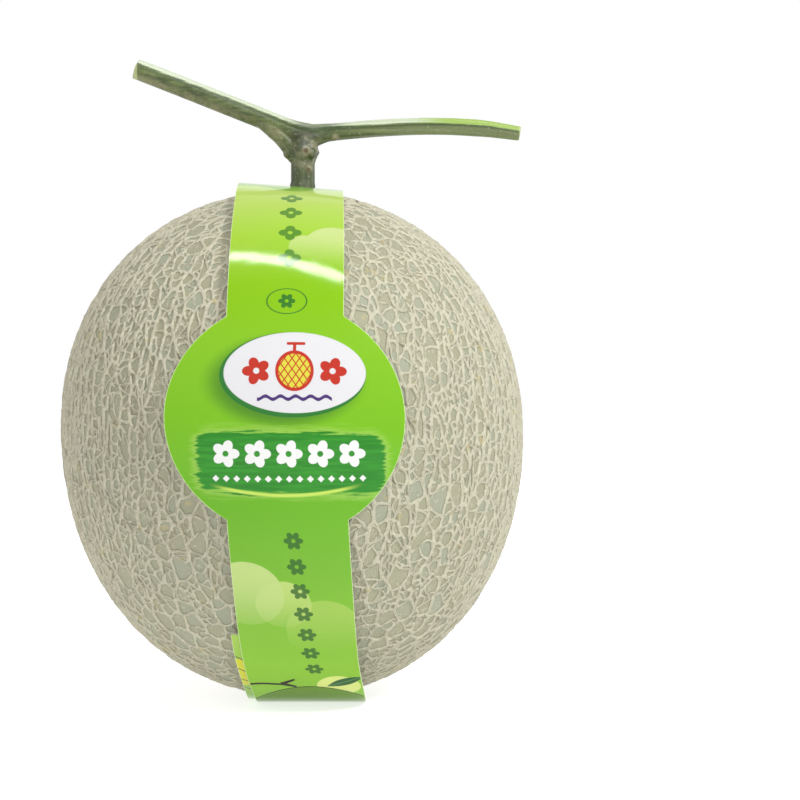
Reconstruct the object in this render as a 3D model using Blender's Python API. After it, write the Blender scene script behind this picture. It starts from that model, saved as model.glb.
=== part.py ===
"""A netted muskmelon in a printed card band, with its stalk and a length of the vine.

Metres, +Z up, the front towards -Y. The origin is on the table, under the middle of the fruit.
There are three pieces: the fruit with its raised net, the stem, and the band, which is one strip of
card bent into a loop. The band runs over the crown, round the stalk, down the front and under the fruit.
"""

import math
import random

import bmesh
import bpy
import numpy as np
from mathutils import Vector

# Fruit
FRUIT_RADIUS = 0.0750
WIDEST_HEIGHT = 0.0870
RISE_ABOVE_WIDEST = 0.0786
DROP_BELOW_WIDEST = 0.0863
SQUARENESS_ABOVE = 2.04  # the profile's exponent; 2 is an ellipse
SQUARENESS_BELOW = 2.0
LEAN = -0.021  # metres sideways for each metre above the widest level
FLAT_SPOT_HEIGHT = 0.0018

# Raised net, with cells larger than life
CELL_COUNT = 620
CELL_SEED = 11
CELL_JITTER = 0.30  # of the spacing between cells
SHORTEST_EDGE = 0.0024
UPRIGHT_STRETCH = 0.11
RIDGE_HALF_WIDTH = 0.0019
RIDGE_HEIGHT = 0.0012
SMOOTH_POLE_RADIUS = 0.0100
SMOOTH_POLE_BLEND = 0.0080

# Stem: a stalk and a length of vine that grew as one
STEM_SIDES = 12
RIB_DEPTH = 0.06  # of the radius
STALK_X = 0.0034
STALK_RADIUS = 0.0038
ROOT_RADIUS = 0.0047
SOCKET_RADIUS = 0.0051
SOCKET_FLOOR = 0.1630
NODE_HEIGHT = 0.1832
NODE_RADIUS = 0.0054
ARM_RADIUS_LEFT = 0.00325
ARM_RADIUS_RIGHT = 0.00272
ARM_RADIUS_TIP = 0.00222
VINE_GUIDE = (  # x, y, z from the left cut end to the right cut end
    (-0.0513, 0.0040, 0.2060),
    (-0.0320, 0.0028, 0.1983),
    (-0.0072, 0.0006, 0.1881),
    (0.0042, 0.0000, 0.1836),
    (0.0125, -0.0002, 0.1844),
    (0.0288, -0.0008, 0.1856),
    (0.0452, -0.0014, 0.1860),
    (0.0615, -0.0022, 0.1852),
    (0.0741, -0.0030, 0.1834),
)

# Band
CARD = 0.0006
CLEARANCE = 0.0003
LAYER_PITCH = CARD + CLEARANCE
STRIP_HALF_WIDTH = 0.0165
STRIP_HALF_WIDTH_LOW = 0.0170
BADGE_RADIUS = 0.0338
BADGE_HEIGHT = 0.0901
CROSS_CURVE_RADIUS = 0.110
CROWN_ROLL = math.radians(4.2)
CROWN_LIFT = 0.0004
STALK_HOLE_RADIUS = 0.0085
FOLD_PLACE = (-0.0280, 0.0042)  # y, z of the soft fold in front of the fruit's foot
FOOT_HALF_LENGTH = 0.0160
TAIL_TOP_HEIGHT = 0.0265
TAIL_OFFSET = -0.0025
OVERLAP_END_Y = 0.0230
BAND_COLUMNS = 6
SOFTENING = 0.0025  # how far the fold and the foot's corners are rounded


def clear_scene():
    """Empties the file, so that the model is built from nothing."""
    for thing in list(bpy.data.objects):
        bpy.data.objects.remove(thing)


def material(name, colour, roughness):
    """A plain shader with the piece's own colour."""
    made = bpy.data.materials.new(name)
    made.use_nodes = True
    shader = made.node_tree.nodes["Principled BSDF"]
    shader.inputs["Base Color"].default_value = (*colour, 1.0)
    shader.inputs["Roughness"].default_value = roughness
    shader.inputs["Metallic"].default_value = 0.0
    return made


def add_object(name, bm, surface=None):
    """Turns a bmesh into an object in the scene."""
    mesh = bpy.data.meshes.new(name)
    bm.to_mesh(mesh)
    bm.free()
    made = bpy.data.objects.new(name, mesh)
    bpy.context.scene.collection.objects.link(made)
    if surface:
        mesh.materials.append(surface)
    return made


def combine(target, other, operation):
    """Cuts or joins another object by an exact Boolean, and hides the other object."""
    change = target.modifiers.new(other.name, "BOOLEAN")
    change.operation = operation
    change.solver = "EXACT"
    change.object = other
    other.hide_render = True
    other.display_type = "WIRE"


def cylinder(name, radius, bottom, top, x, sides):
    """An upright closed cylinder on the line y = 0."""
    bm = bmesh.new()
    bmesh.ops.create_cone(
        bm, cap_ends=True, segments=sides, radius1=radius, radius2=radius, depth=top - bottom
    )
    bmesh.ops.translate(bm, verts=bm.verts, vec=(x, 0, (bottom + top) / 2))
    return add_object(name, bm)


def smooth_step(value, start, end):
    """0 before start and 1 after end, with an even rise between them."""
    share = min(max((value - start) / (end - start), 0.0), 1.0)
    return share * share * (3 - 2 * share)


def profile(latitude):
    """How far out and how far above the widest level the fruit's skin is."""
    above = latitude > 0
    power = 2 / (SQUARENESS_ABOVE if above else SQUARENESS_BELOW)
    half_height = RISE_ABOVE_WIDEST if above else DROP_BELOW_WIDEST
    out = FRUIT_RADIUS * max(math.cos(latitude), 0.0) ** power
    rise = math.copysign(half_height * abs(math.sin(latitude)) ** power, latitude)
    return out, rise


def fruit_point(direction):
    """Maps a direction from the fruit's middle to its skin, with cells drawn out upright at the waist."""
    latitude = math.asin(max(-1.0, min(1.0, direction.z)))
    latitude += UPRIGHT_STRETCH * math.sin(2 * latitude)
    longitude = math.atan2(direction.y, direction.x)
    out, rise = profile(latitude)
    return Vector(
        (out * math.cos(longitude) + LEAN * rise, out * math.sin(longitude), WIDEST_HEIGHT + rise)
    )


def net_seeds():
    """Evenly spread directions, each nudged at random, joined into a hull of triangles."""
    rng = random.Random(CELL_SEED)
    golden_angle = math.pi * (3 - math.sqrt(5))
    nudge = CELL_JITTER * math.sqrt(4 * math.pi / CELL_COUNT)
    bm = bmesh.new()
    for index in range(CELL_COUNT):
        rise = 1 - (2 * index + 1) / CELL_COUNT
        ring = math.sqrt(1 - rise * rise)
        turn = index * golden_angle
        place = Vector((ring * math.cos(turn), ring * math.sin(turn), rise))
        place += nudge * Vector([rng.gauss(0, 1) for _ in range(3)])
        bm.verts.new(place.normalized())
    bmesh.ops.convex_hull(bm, input=bm.verts[:])
    bm.normal_update()
    return bm


def net_cells():
    """The net's lines on a unit sphere: one polygon for each seed, with a corner for each triangle."""
    seeds = net_seeds()
    net = bmesh.new()
    corners = {face: net.verts.new(face.normal.normalized()) for face in seeds.faces}
    for seed in seeds.verts:
        side = seed.co.orthogonal().normalized()
        along = seed.co.cross(side)

        def turn(corner):
            arm = corner.co - seed.co
            return math.atan2(arm.dot(along), arm.dot(side))

        net.faces.new(sorted((corners[face] for face in seed.link_faces), key=turn))
    seeds.free()
    bmesh.ops.remove_doubles(net, verts=net.verts, dist=SHORTEST_EDGE / FRUIT_RADIUS)
    return net


def sink_cells(net):
    """Sinks the middle of each cell, so that the lines between cells stand up as ridges."""
    cells = net.faces[:]
    bmesh.ops.inset_individual(net, faces=cells, thickness=0)
    for cell in cells:
        middle = cell.calc_center_median()
        inward = -cell.normal
        for corner in cell.verts:
            arm = middle - corner.co
            from_axis = math.hypot(corner.co.x - LEAN * (corner.co.z - WIDEST_HEIGHT), corner.co.y)
            deep = smooth_step(from_axis, SMOOTH_POLE_RADIUS, SMOOTH_POLE_RADIUS + SMOOTH_POLE_BLEND)
            corner.co += arm.normalized() * min(RIDGE_HALF_WIDTH, 0.5 * arm.length)
            corner.co += inward * RIDGE_HEIGHT * deep


def build_fruit():
    """The whole fruit: netted skin, a flat spot to rest on and a socket for the stalk's root."""
    net = net_cells()
    for corner in net.verts:
        corner.co = fruit_point(corner.co)
    net.normal_update()
    sink_cells(net)
    fruit = add_object("fruit", net, material("netted_rind", (0.48, 0.48, 0.33), 0.75))

    below = bmesh.new()
    bmesh.ops.create_cube(below, size=2 * FRUIT_RADIUS)
    bmesh.ops.translate(below, verts=below.verts, vec=(0, 0, FLAT_SPOT_HEIGHT - FRUIT_RADIUS))
    combine(fruit, add_object("flat_spot_cutter", below), "DIFFERENCE")
    crown = WIDEST_HEIGHT + RISE_ABOVE_WIDEST
    socket = cylinder(
        "socket_cutter", SOCKET_RADIUS, SOCKET_FLOOR, crown + SOCKET_RADIUS, STALK_X, 2 * STEM_SIDES
    )
    combine(fruit, socket, "DIFFERENCE")
    return fruit


def through(points, steps):
    """A smooth curve through the points (Catmull-Rom), with some steps between each two."""
    points = [Vector(point) for point in points]
    ends = [2 * points[0] - points[1], *points, 2 * points[-1] - points[-2]]
    curve = []
    for before, start, end, after in zip(ends, ends[1:], ends[2:], ends[3:]):
        for step in range(steps):
            t = step / steps
            curve.append(
                0.5 * (2 * start + (end - before) * t
                       + (2 * before - 5 * start + 4 * end - after) * t * t
                       + (3 * start - before - 3 * end + after) * t * t * t)
            )
    curve.append(points[-1])
    return curve


def sweep(curve, radii):
    """A closed ribbed rod along a curve that lies nearly in the plane y = 0."""
    bm = bmesh.new()
    rings = []
    for index, (place, radius) in enumerate(zip(curve, radii)):
        ahead = curve[min(index + 1, len(curve) - 1)] - curve[max(index - 1, 0)]
        ahead.normalize()
        side = Vector((0, 1, 0))
        up = side.cross(ahead).normalized()
        side = ahead.cross(up)
        ring = []
        for corner in range(STEM_SIDES):
            turn = 2 * math.pi * corner / STEM_SIDES
            reach = radius * (1 + RIB_DEPTH * (-1) ** corner)
            ring.append(bm.verts.new(place + reach * (math.cos(turn) * side + math.sin(turn) * up)))
        rings.append(ring)
    for first, second in zip(rings, rings[1:]):
        for corner in range(STEM_SIDES):
            after = (corner + 1) % STEM_SIDES
            bm.faces.new((first[corner], first[after], second[after], second[corner]))
    bm.faces.new(rings[0])
    bm.faces.new(rings[-1])
    bmesh.ops.recalc_face_normals(bm, faces=bm.faces)
    return bm


def vine_radius(x):
    """The vine's radius along its length, with a swelling where the stalk leaves it."""
    node_x = VINE_GUIDE[3][0]
    plain = float(
        np.interp(
            x,
            (-0.0513, -0.010, 0.0125, 0.060, 0.0741),
            (ARM_RADIUS_LEFT, ARM_RADIUS_LEFT, ARM_RADIUS_RIGHT, ARM_RADIUS_RIGHT, ARM_RADIUS_TIP),
        )
    )
    return plain + 0.0011 * math.exp(-(((x - node_x) / 0.0055) ** 2))


def build_stem():
    """The stalk, from its root in the crown, and the vine, with a swollen node where they meet."""
    vine_curve = through(VINE_GUIDE, 5)
    vine = sweep(vine_curve, [vine_radius(place.x) for place in vine_curve])
    stem = add_object("stem", vine, material("green_stem", (0.30, 0.38, 0.17), 0.6))

    root = SOCKET_FLOOR + CLEARANCE
    crown = WIDEST_HEIGHT + RISE_ABOVE_WIDEST
    stalk_guide = (  # x, z and radius from the root to the middle of the node
        (STALK_X, root, ROOT_RADIUS),
        (STALK_X, crown, 0.0044),
        (STALK_X + 0.0001, crown + 0.003, STALK_RADIUS),
        (STALK_X + 0.0001, crown + 0.009, STALK_RADIUS),
        (STALK_X, crown + 0.0125, NODE_RADIUS),
        (STALK_X + 0.0006, NODE_HEIGHT, 0.0036),
    )
    stalk_curve = through([(x, 0, z) for x, z, _ in stalk_guide], 2)
    heights = [z for _, z, _ in stalk_guide]
    widths = [radius for _, _, radius in stalk_guide]
    stalk = sweep(stalk_curve, [float(np.interp(place.z, heights, widths)) for place in stalk_curve])
    combine(stem, add_object("stalk_part", stalk), "UNION")

    scars = ((-0.0014, -0.0004, 0.1772, 0.0020), (0.0062, -0.0038, 0.1762, 0.0018))
    for index, (x, y, z, radius) in enumerate(scars):
        bump = bmesh.new()
        bmesh.ops.create_icosphere(bump, subdivisions=1, radius=radius)
        bmesh.ops.translate(bump, verts=bump.verts, vec=(x, y, z))
        combine(stem, add_object(f"scar_part_{index}", bump), "UNION")
    return stem


def hull(points):
    """The convex outline of points in a plane, anticlockwise."""
    points = sorted(set(points))

    def chain(ordered):
        kept = []
        for point in ordered:
            while len(kept) > 1:
                (ay, az), (by, bz) = kept[-2:]
                if (by - ay) * (point[1] - az) - (bz - az) * (point[0] - ay) > 0:
                    break
                kept.pop()
            kept.append(point)
        return kept[:-1]

    return chain(points) + chain(points[::-1])


class Loop:
    """The closed middle line of the band's outer layer in the plane x = 0.

    Places on it are lengths from the crown, down the front, under the fruit and up the back.
    """

    def __init__(self):
        off = CLEARANCE + CARD + CLEARANCE + CARD / 2
        points = [FOLD_PLACE, (-FOOT_HALF_LENGTH, CARD / 2), (FOOT_HALF_LENGTH, CARD / 2)]
        small = 1e-4
        for latitude in np.linspace(-math.pi / 2 + small, math.pi / 2 - small, 400):
            before, here = profile(latitude - small), profile(latitude)
            along = np.subtract(here, before)
            out, up = np.array((along[1], -along[0])) / np.linalg.norm(along) * off
            height = max(WIDEST_HEIGHT + here[1] + up, CARD / 2)
            points += [(here[0] + out, height), (-here[0] - out, height)]
        line = np.array(hull(points))
        line = np.roll(line, -int(line[:, 1].argmax()), axis=0)
        line = self.even(np.vstack((line, line[:1])), 0.0005)
        reach = int(SOFTENING / 0.0005)
        for _ in range(2):
            line = np.mean([np.roll(line, shift, axis=0) for shift in range(-reach, reach + 1)], axis=0)
        self.line = np.vstack((line, line[:1]))
        steps = np.linalg.norm(np.diff(self.line, axis=0), axis=1)
        self.at = np.concatenate(([0.0], np.cumsum(steps)))
        self.length = float(self.at[-1])

    @staticmethod
    def even(line, step):
        """The closed line with evenly spaced points, without its repeated end."""
        at = np.concatenate(([0.0], np.cumsum(np.linalg.norm(np.diff(line, axis=0), axis=1))))
        places = np.linspace(0, at[-1], int(at[-1] / step), endpoint=False)
        return np.column_stack([np.interp(places, at, line[:, axis]) for axis in (0, 1)])

    def point(self, place):
        """The y and z of a place, which may lie before the crown or past one whole lap."""
        place %= self.length
        return np.array([np.interp(place, self.at, self.line[:, axis]) for axis in (0, 1)])

    def outward(self, place):
        """The unit vector that points away from the fruit."""
        along = self.point(place + 0.0004) - self.point(place - 0.0004)
        along /= np.linalg.norm(along)
        return np.array((along[1], -along[0]))

    def front(self, height):
        """The place where the front of the loop passes a height."""
        half = self.at < self.length / 2
        return float(np.interp(-height, -self.line[half, 1], self.at[half]))


class Band:
    """Where each point of the card strip is, by its place along the loop and its distance sideways."""

    def __init__(self):
        self.loop = loop = Loop()
        lap = loop.length
        low_side = 0.0062
        self.badge = loop.front(BADGE_HEIGHT)
        self.fold = loop.front(FOLD_PLACE[1] + CARD / 2)
        self.tail = loop.front(TAIL_TOP_HEIGHT) - lap
        foot = loop.front(CARD / 2 + 1e-6)
        self.end = foot + FOOT_HALF_LENGTH + OVERLAP_END_Y
        self.sideways = (  # place, x of the strip's middle
            (self.tail, 0.0016 + TAIL_OFFSET),
            (self.fold - lap, low_side + TAIL_OFFSET),
            (foot - lap, low_side + TAIL_OFFSET),
            (-0.30 * lap, 0.0015),
            (-0.05 * lap, 0.0),
            (0.0, 0.0),
            (loop.front(0.140), -0.0014),
            (loop.front(0.117), -0.0020),
            (self.badge, -0.0022),
            (loop.front(0.061), -0.0014),
            (loop.front(0.025), 0.0016),
            (loop.front(0.012), 0.0039),
            (self.fold, low_side),
            (self.end, low_side + 0.0006),
        )
        self.curved = (  # place, share of the full cross curve
            (self.tail, 0.3),
            (self.fold - lap, 0.0),
            (foot + 0.03 - lap, 0.0),
            (foot + 0.08 - lap, 0.8),
            (-0.050, 0.8),
            (-0.020, 0.0),
            (0.012, 0.0),
            (0.045, 1.0),
            (loop.front(0.045), 1.0),
            (loop.front(0.022), 0.3),
            (self.fold, 0.0),
        )

    def middle(self, place):
        """The strip's sideways offset, without kinks between the listed places."""
        spread = np.linspace(-0.012, 0.012, 9)
        return float(np.mean(np.interp(place + spread, *zip(*self.sideways))))

    def half_width(self, place):
        """Half the card's width: the round badge where that is wider than the strip."""
        narrow = STRIP_HALF_WIDTH + (STRIP_HALF_WIDTH_LOW - STRIP_HALF_WIDTH) * (place > self.badge)
        from_badge = abs(place - self.badge)
        if from_badge < BADGE_RADIUS:
            return max(narrow, math.sqrt(BADGE_RADIUS**2 - from_badge**2))
        return narrow

    def point(self, place, across):
        """A point of the card's middle layer, across metres to the right of the strip's middle."""
        y, z = self.loop.point(place)
        out_y, out_z = self.loop.outward(place)
        near_crown = 1 - smooth_step(abs(place), 0.012, 0.050)
        inner_layer = 1 - smooth_step(place, 0.0, 0.060)
        off = CROWN_LIFT * near_crown - LAYER_PITCH * inner_layer
        off -= across * math.tan(CROWN_ROLL) * near_crown
        off -= float(np.interp(place, *zip(*self.curved))) * across**2 / (2 * CROSS_CURVE_RADIUS)
        return Vector((self.middle(place) + across, y + off * out_y, z + off * out_z))

    def rows(self):
        """Places along the strip: close together at the fold and on the badge, else further apart."""
        corners = [self.badge - self.junction(), self.badge + self.junction()]
        place, places = self.tail, []
        while place < self.end - 0.0005:
            places.append(place)
            from_fold = min(abs(place - self.fold), abs(place - self.fold + self.loop.length))
            on_badge = abs(place - self.badge) < BADGE_RADIUS
            step = 0.0012 if from_fold < 0.0045 else 0.0036 if on_badge else 0.0050
            ahead = [corner for corner in corners if place + 1e-6 < corner < place + 1.4 * step]
            place = ahead[0] if ahead else place + step
        return [*places, self.end]

    def junction(self):
        """How far from the badge's middle its rim meets the strip."""
        return math.sqrt(BADGE_RADIUS**2 - STRIP_HALF_WIDTH_LOW**2)


def build_band():
    """The printed card: one strip with a round badge, a hole for the stalk and ends that overlap."""
    shape = Band()
    bm = bmesh.new()
    rows = []
    for place in shape.rows():
        half = shape.half_width(place)
        across = [half * (2 * column / BAND_COLUMNS - 1) for column in range(BAND_COLUMNS + 1)]
        rows.append([bm.verts.new(shape.point(place, x)) for x in across])
    for first, second in zip(rows, rows[1:]):
        for column in range(BAND_COLUMNS):
            bm.faces.new((first[column], second[column], second[column + 1], first[column + 1]))
    band = add_object("band", bm, material("printed_card", (0.25, 0.55, 0.06), 0.3))

    thick = band.modifiers.new("card", "SOLIDIFY")
    thick.thickness = CARD
    thick.offset = 0
    thick.use_even_offset = True
    crown = WIDEST_HEIGHT + RISE_ABOVE_WIDEST
    hole = cylinder("stalk_hole_cutter", STALK_HOLE_RADIUS, crown - 0.01, crown + 0.01, STALK_X, 24)
    combine(band, hole, "DIFFERENCE")
    return band


clear_scene()
build_fruit()
build_stem()
build_band()
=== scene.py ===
"""Looks for a netted muskmelon in a printed card band, with its stalk and a length of the vine.

Metres, +Z up, the front towards -Y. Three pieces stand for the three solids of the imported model:
the fruit with its corky net, the stem, and the card band with its print.
"""

import math
import random

import bmesh
import bpy
import numpy as np
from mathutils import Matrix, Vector, geometry, noise


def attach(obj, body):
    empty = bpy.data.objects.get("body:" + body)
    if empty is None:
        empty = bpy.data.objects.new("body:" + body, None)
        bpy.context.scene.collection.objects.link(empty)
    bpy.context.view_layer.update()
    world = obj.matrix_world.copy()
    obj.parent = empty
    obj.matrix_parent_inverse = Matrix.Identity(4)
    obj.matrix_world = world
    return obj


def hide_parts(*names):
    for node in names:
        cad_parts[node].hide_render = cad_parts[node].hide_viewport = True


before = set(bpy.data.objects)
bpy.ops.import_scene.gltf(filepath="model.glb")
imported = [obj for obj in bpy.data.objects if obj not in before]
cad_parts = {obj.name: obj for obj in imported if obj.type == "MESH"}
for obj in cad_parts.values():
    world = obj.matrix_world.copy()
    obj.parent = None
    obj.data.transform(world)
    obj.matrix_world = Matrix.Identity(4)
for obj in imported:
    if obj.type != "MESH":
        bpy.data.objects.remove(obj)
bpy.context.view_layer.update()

MM = 0.001

# The fruit's shape, as in the solids
FRUIT_RADIUS = 0.0750
WIDEST_HEIGHT = 0.0858
RISE_ABOVE_WIDEST = 0.0777
DROP_BELOW_WIDEST = 0.0863
SQUARENESS_ABOVE = 2.09
SQUARENESS_BELOW = 2.10
LEAN = -0.014
CROWN_HEIGHT = 0.1630
CROWN_TILT = math.radians(4.2)
CROWN_SOFTNESS = 0.0005
FLAT_SPOT_HEIGHT = 0.0018

# The net
NET_SEED = 23
WANDER_SEED = 2
WANDER = ((9, 0.014), (26, 0.006), (60, 0.0020))  # how fine and how strong the net's meanders are
CELL_SIZES = (  # latitude in degrees, width and height in millimetres of a cell between strong ridges
    (-90, 5.0, 5.0),
    (-64, 6.0, 4.4),
    (-46, 5.6, 5.6),
    (-26, 4.3, 8.2),
    (0, 3.65, 10.2),
    (22, 3.8, 9.4),
    (42, 4.2, 7.0),
    (60, 4.8, 5.2),
    (76, 4.6, 4.6),
    (90, 4.2, 4.2),
)
CELL_JITTER = 0.38
GOLDEN_ANGLE = math.pi * (3 - math.sqrt(5))
DEEPEST_NOTCH = 0.12
SHARPEST_TURN = 0.985
SHORTEST_STROKE = 0.80 * MM
STROKE_PART = 1.35 * MM  # how closely a stroke's bends follow one another
MOST_STROKE_PARTS = 6
MOST_RUNG_PARTS = 4
NARROWEST_RUNG = 1.1 * MM
LONGEST_CELL = 4.9 * MM  # longer ones are split by rungs
RIDGE_FOOT = 0.66 * MM  # from a ridge's crest to its foot
RIDGE_HEIGHT = 0.92 * MM
CREST_ROOM = 0.20 * MM  # how far the highest crest stays below the solid's skin
CREST_GRAIN = 0.05 * MM  # how far crests rise and fall
CREST_GRAIN_SCALE = 3000
CALMING_ROUNDS = 7
UNTANGLING_ROUNDS = 16
HEART_TRIES = 20

# The card band, as in the solids
CARD = 0.0006
CLEARANCE = 0.0003
LAYER_PITCH = CARD + CLEARANCE
STRIP_HALF_WIDTH = 0.0165
STRIP_HALF_WIDTH_LOW = 0.0170
BADGE_RADIUS = 0.0338
BADGE_HEIGHT = 0.0890
CROSS_CURVE_RADIUS = 0.110
STALK_HOLE_RADIUS = 0.0085
FOLD_PLACE = (-0.0280, 0.0028)
FOOT_HALF_LENGTH = 0.0160
LOW_OFFSET = 0.0062
TAIL_TOP_HEIGHT = 0.0255
TAIL_OFFSET = -0.0032
OVERLAP_END_Y = 0.0230
BAND_COLUMNS = 24
SOFTENING = 0.0025
LOOP_STEP = 0.0005
CARD_SMOOTHING = 30  # degrees

# The stem, as in the solids
STEM_SIDES = 40
STEM_VOXEL = 0.29 * MM
STALK_X = 0.0034
SOCKET_DEPTH = 0.0025
NODE_HEIGHT = 0.1820
NODE_SWELLING = 0.0011
NODE_REACH = 0.0055
VINE_RADII = ((-0.0513, 0.00325), (-0.010, 0.00325), (0.0125, 0.00272), (0.060, 0.00272), (0.0741, 0.00222))
VINE_GUIDE = (  # x, y, z from the left cut end to the right cut end
    (-0.0513, 0.0040, 0.2048),
    (-0.0320, 0.0028, 0.1971),
    (-0.0072, 0.0006, 0.1869),
    (0.0042, 0.0000, 0.1824),
    (0.0125, -0.0002, 0.1832),
    (0.0288, -0.0008, 0.1844),
    (0.0452, -0.0014, 0.1848),
    (0.0615, -0.0022, 0.1840),
    (0.0741, -0.0030, 0.1822),
)
STALK_GUIDE = (  # x, z and radius from the root to the middle of the node
    (STALK_X, CROWN_HEIGHT - SOCKET_DEPTH + CLEARANCE, 0.0047),
    (STALK_X, CROWN_HEIGHT + 0.0010, 0.0044),
    (STALK_X + 0.0002, CROWN_HEIGHT + 0.0040, 0.0038),
    (STALK_X + 0.0002, CROWN_HEIGHT + 0.0100, 0.0038),
    (STALK_X + 0.0002, NODE_HEIGHT - 0.0050, 0.0054),
    (STALK_X + 0.0008, NODE_HEIGHT, 0.0036),
)
SCARS = (  # x, y, z and radius of the bumps that cut side shoots left
    (-0.0010, -0.0008, 0.1762, 0.0019),
    (0.0062, -0.0034, 0.1757, 0.0018),
    (0.0054, -0.0028, 0.1708, 0.0014),
    (0.0135, -0.0012, 0.1818, 0.0017),
)
WEB = (  # x, z and radius of the web between the left arm's underside and the stalk
    (-0.0105, 0.1868, 0.0020),
    (-0.0060, 0.1838, 0.0027),
    (-0.0022, 0.1802, 0.0028),
    (0.0016, 0.1752, 0.0030),
)


def clear_selection():
    """Nothing is selected and nothing is in edit mode."""
    if bpy.context.object and bpy.context.object.mode != "OBJECT":
        bpy.ops.object.mode_set(mode="OBJECT")
    bpy.ops.object.select_all(action="DESELECT")


def finish_piece(piece, node, finish=None):
    """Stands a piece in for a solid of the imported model."""
    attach(piece, "root")
    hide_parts(node)
    if finish:
        piece.data.materials.clear()
        piece.data.materials.append(finish)


def smooth_share(value, start, end):
    """0 before start and 1 after end, with an even rise between them; works on arrays."""
    share = np.clip((value - start) / (end - start), 0.0, 1.0)
    return share * share * (3 - 2 * share)


class Amount:
    """A number inside a material, so that sums on it can be written out."""

    def __init__(self, finish, socket):
        self.finish, self.socket = finish, socket

    def sum(self, operation, *others):
        return Amount(self.finish, self.finish.math(operation, self, *others))

    def __add__(self, other):
        return self.sum("ADD", other)

    def __sub__(self, other):
        return self.sum("SUBTRACT", other)

    def __mul__(self, other):
        return self.sum("MULTIPLY", other)

    def __truediv__(self, other):
        return self.sum("DIVIDE", other)

    def __abs__(self):
        return self.sum("ABSOLUTE")

    def over(self, pitch):
        """The distance from the middle of the nearest cell, for cells of one pitch."""
        return self.sum("FLOORED_MODULO", pitch) - pitch / 2


class Finish:
    """A material and short ways to add nodes to it."""

    def __init__(self, name):
        self.material = bpy.data.materials.new(name)
        self.material.use_nodes = True
        self.tree = self.material.node_tree
        self.shader = self.tree.nodes["Principled BSDF"]

    def put(self, socket, value):
        """Gives a socket a link, a number or a colour."""
        if isinstance(value, Amount):
            value = value.socket
        if isinstance(value, bpy.types.NodeSocket):
            self.tree.links.new(value, socket)
        elif isinstance(value, tuple) and socket.type == "RGBA":
            socket.default_value = (*value, 1.0)
        elif value is not None:
            socket.default_value = value

    def add(self, kind, inputs=(), **settings):
        """A node with its settings and inputs; inputs are (socket name or number, value) pairs."""
        node = self.tree.nodes.new(kind)
        for name, value in settings.items():
            setattr(node, name, value)
        for name, value in inputs:
            self.put(node.inputs[name], value)
        return node

    def math(self, operation, first, second=None):
        """One sum on numbers."""
        return self.add("ShaderNodeMath", [(0, first), (1, second)], operation=operation).outputs[0]

    def ramp(self, value, start, end, low=0.0, high=1.0, smooth=True):
        """Low before start and high after end."""
        inputs = [("Value", value), ("From Min", start), ("From Max", end)]
        inputs += [("To Min", low), ("To Max", high)]
        kind = "SMOOTHSTEP" if smooth else "LINEAR"
        return self.add("ShaderNodeMapRange", inputs, interpolation_type=kind, clamp=True).outputs[0]

    def mix(self, share, first, second, blend="MIX"):
        """Two colours mixed."""
        node = self.add("ShaderNodeMix", data_type="RGBA", blend_type=blend)
        for index, value in ((0, share), (6, first), (7, second)):
            self.put(node.inputs[index], value)
        return node.outputs[2]

    def noise(self, place, scale, detail=2.0, roughness=0.5, distortion=0.0):
        """Soft noise between 0 and 1."""
        inputs = [("Vector", place), ("Scale", scale), ("Detail", detail), ("Roughness", roughness),
                  ("Distortion", distortion)]
        return self.add("ShaderNodeTexNoise", inputs).outputs[0]

    def stretched(self, place, scale):
        """Places with each axis scaled, so that noise on them is drawn out."""
        return self.add("ShaderNodeMapping", [("Vector", place), ("Scale", scale)]).outputs[0]

    def vector(self, operation, first, second):
        """A sum on two vectors."""
        return self.add("ShaderNodeVectorMath", [(0, first), (1, second)], operation=operation).outputs

    def attribute(self, name):
        """A number kept on the mesh."""
        return self.add("ShaderNodeAttribute", attribute_name=name).outputs["Fac"]

    def bump(self, height, distance, strength=1.0, under=None):
        """A bump from a height between 0 and 1 that is worth a distance in metres."""
        inputs = [("Height", height), ("Distance", distance), ("Strength", strength), ("Normal", under)]
        return self.add("ShaderNodeBump", inputs).outputs[0]


# The fruit


def skin_profile(latitude):
    """How far out and how far above the widest level the skin is."""
    power = 2 / np.where(latitude > 0, SQUARENESS_ABOVE, SQUARENESS_BELOW)
    half_height = np.where(latitude > 0, RISE_ABOVE_WIDEST, DROP_BELOW_WIDEST)
    out = FRUIT_RADIUS * np.maximum(np.cos(latitude), 0.0) ** power
    rise = np.sign(latitude) * half_height * np.abs(np.sin(latitude)) ** power
    return out, rise


def flatten_crown(height, x):
    """Lowers what rises over the crown's tilted flat, with a soft rim."""
    over = height - CROWN_HEIGHT + math.tan(CROWN_TILT) * x
    soft = np.clip(over + CROWN_SOFTNESS, 0.0, 2 * CROWN_SOFTNESS) ** 2 / (4 * CROWN_SOFTNESS)
    return height - soft - np.maximum(over - CROWN_SOFTNESS, 0.0)


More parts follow.
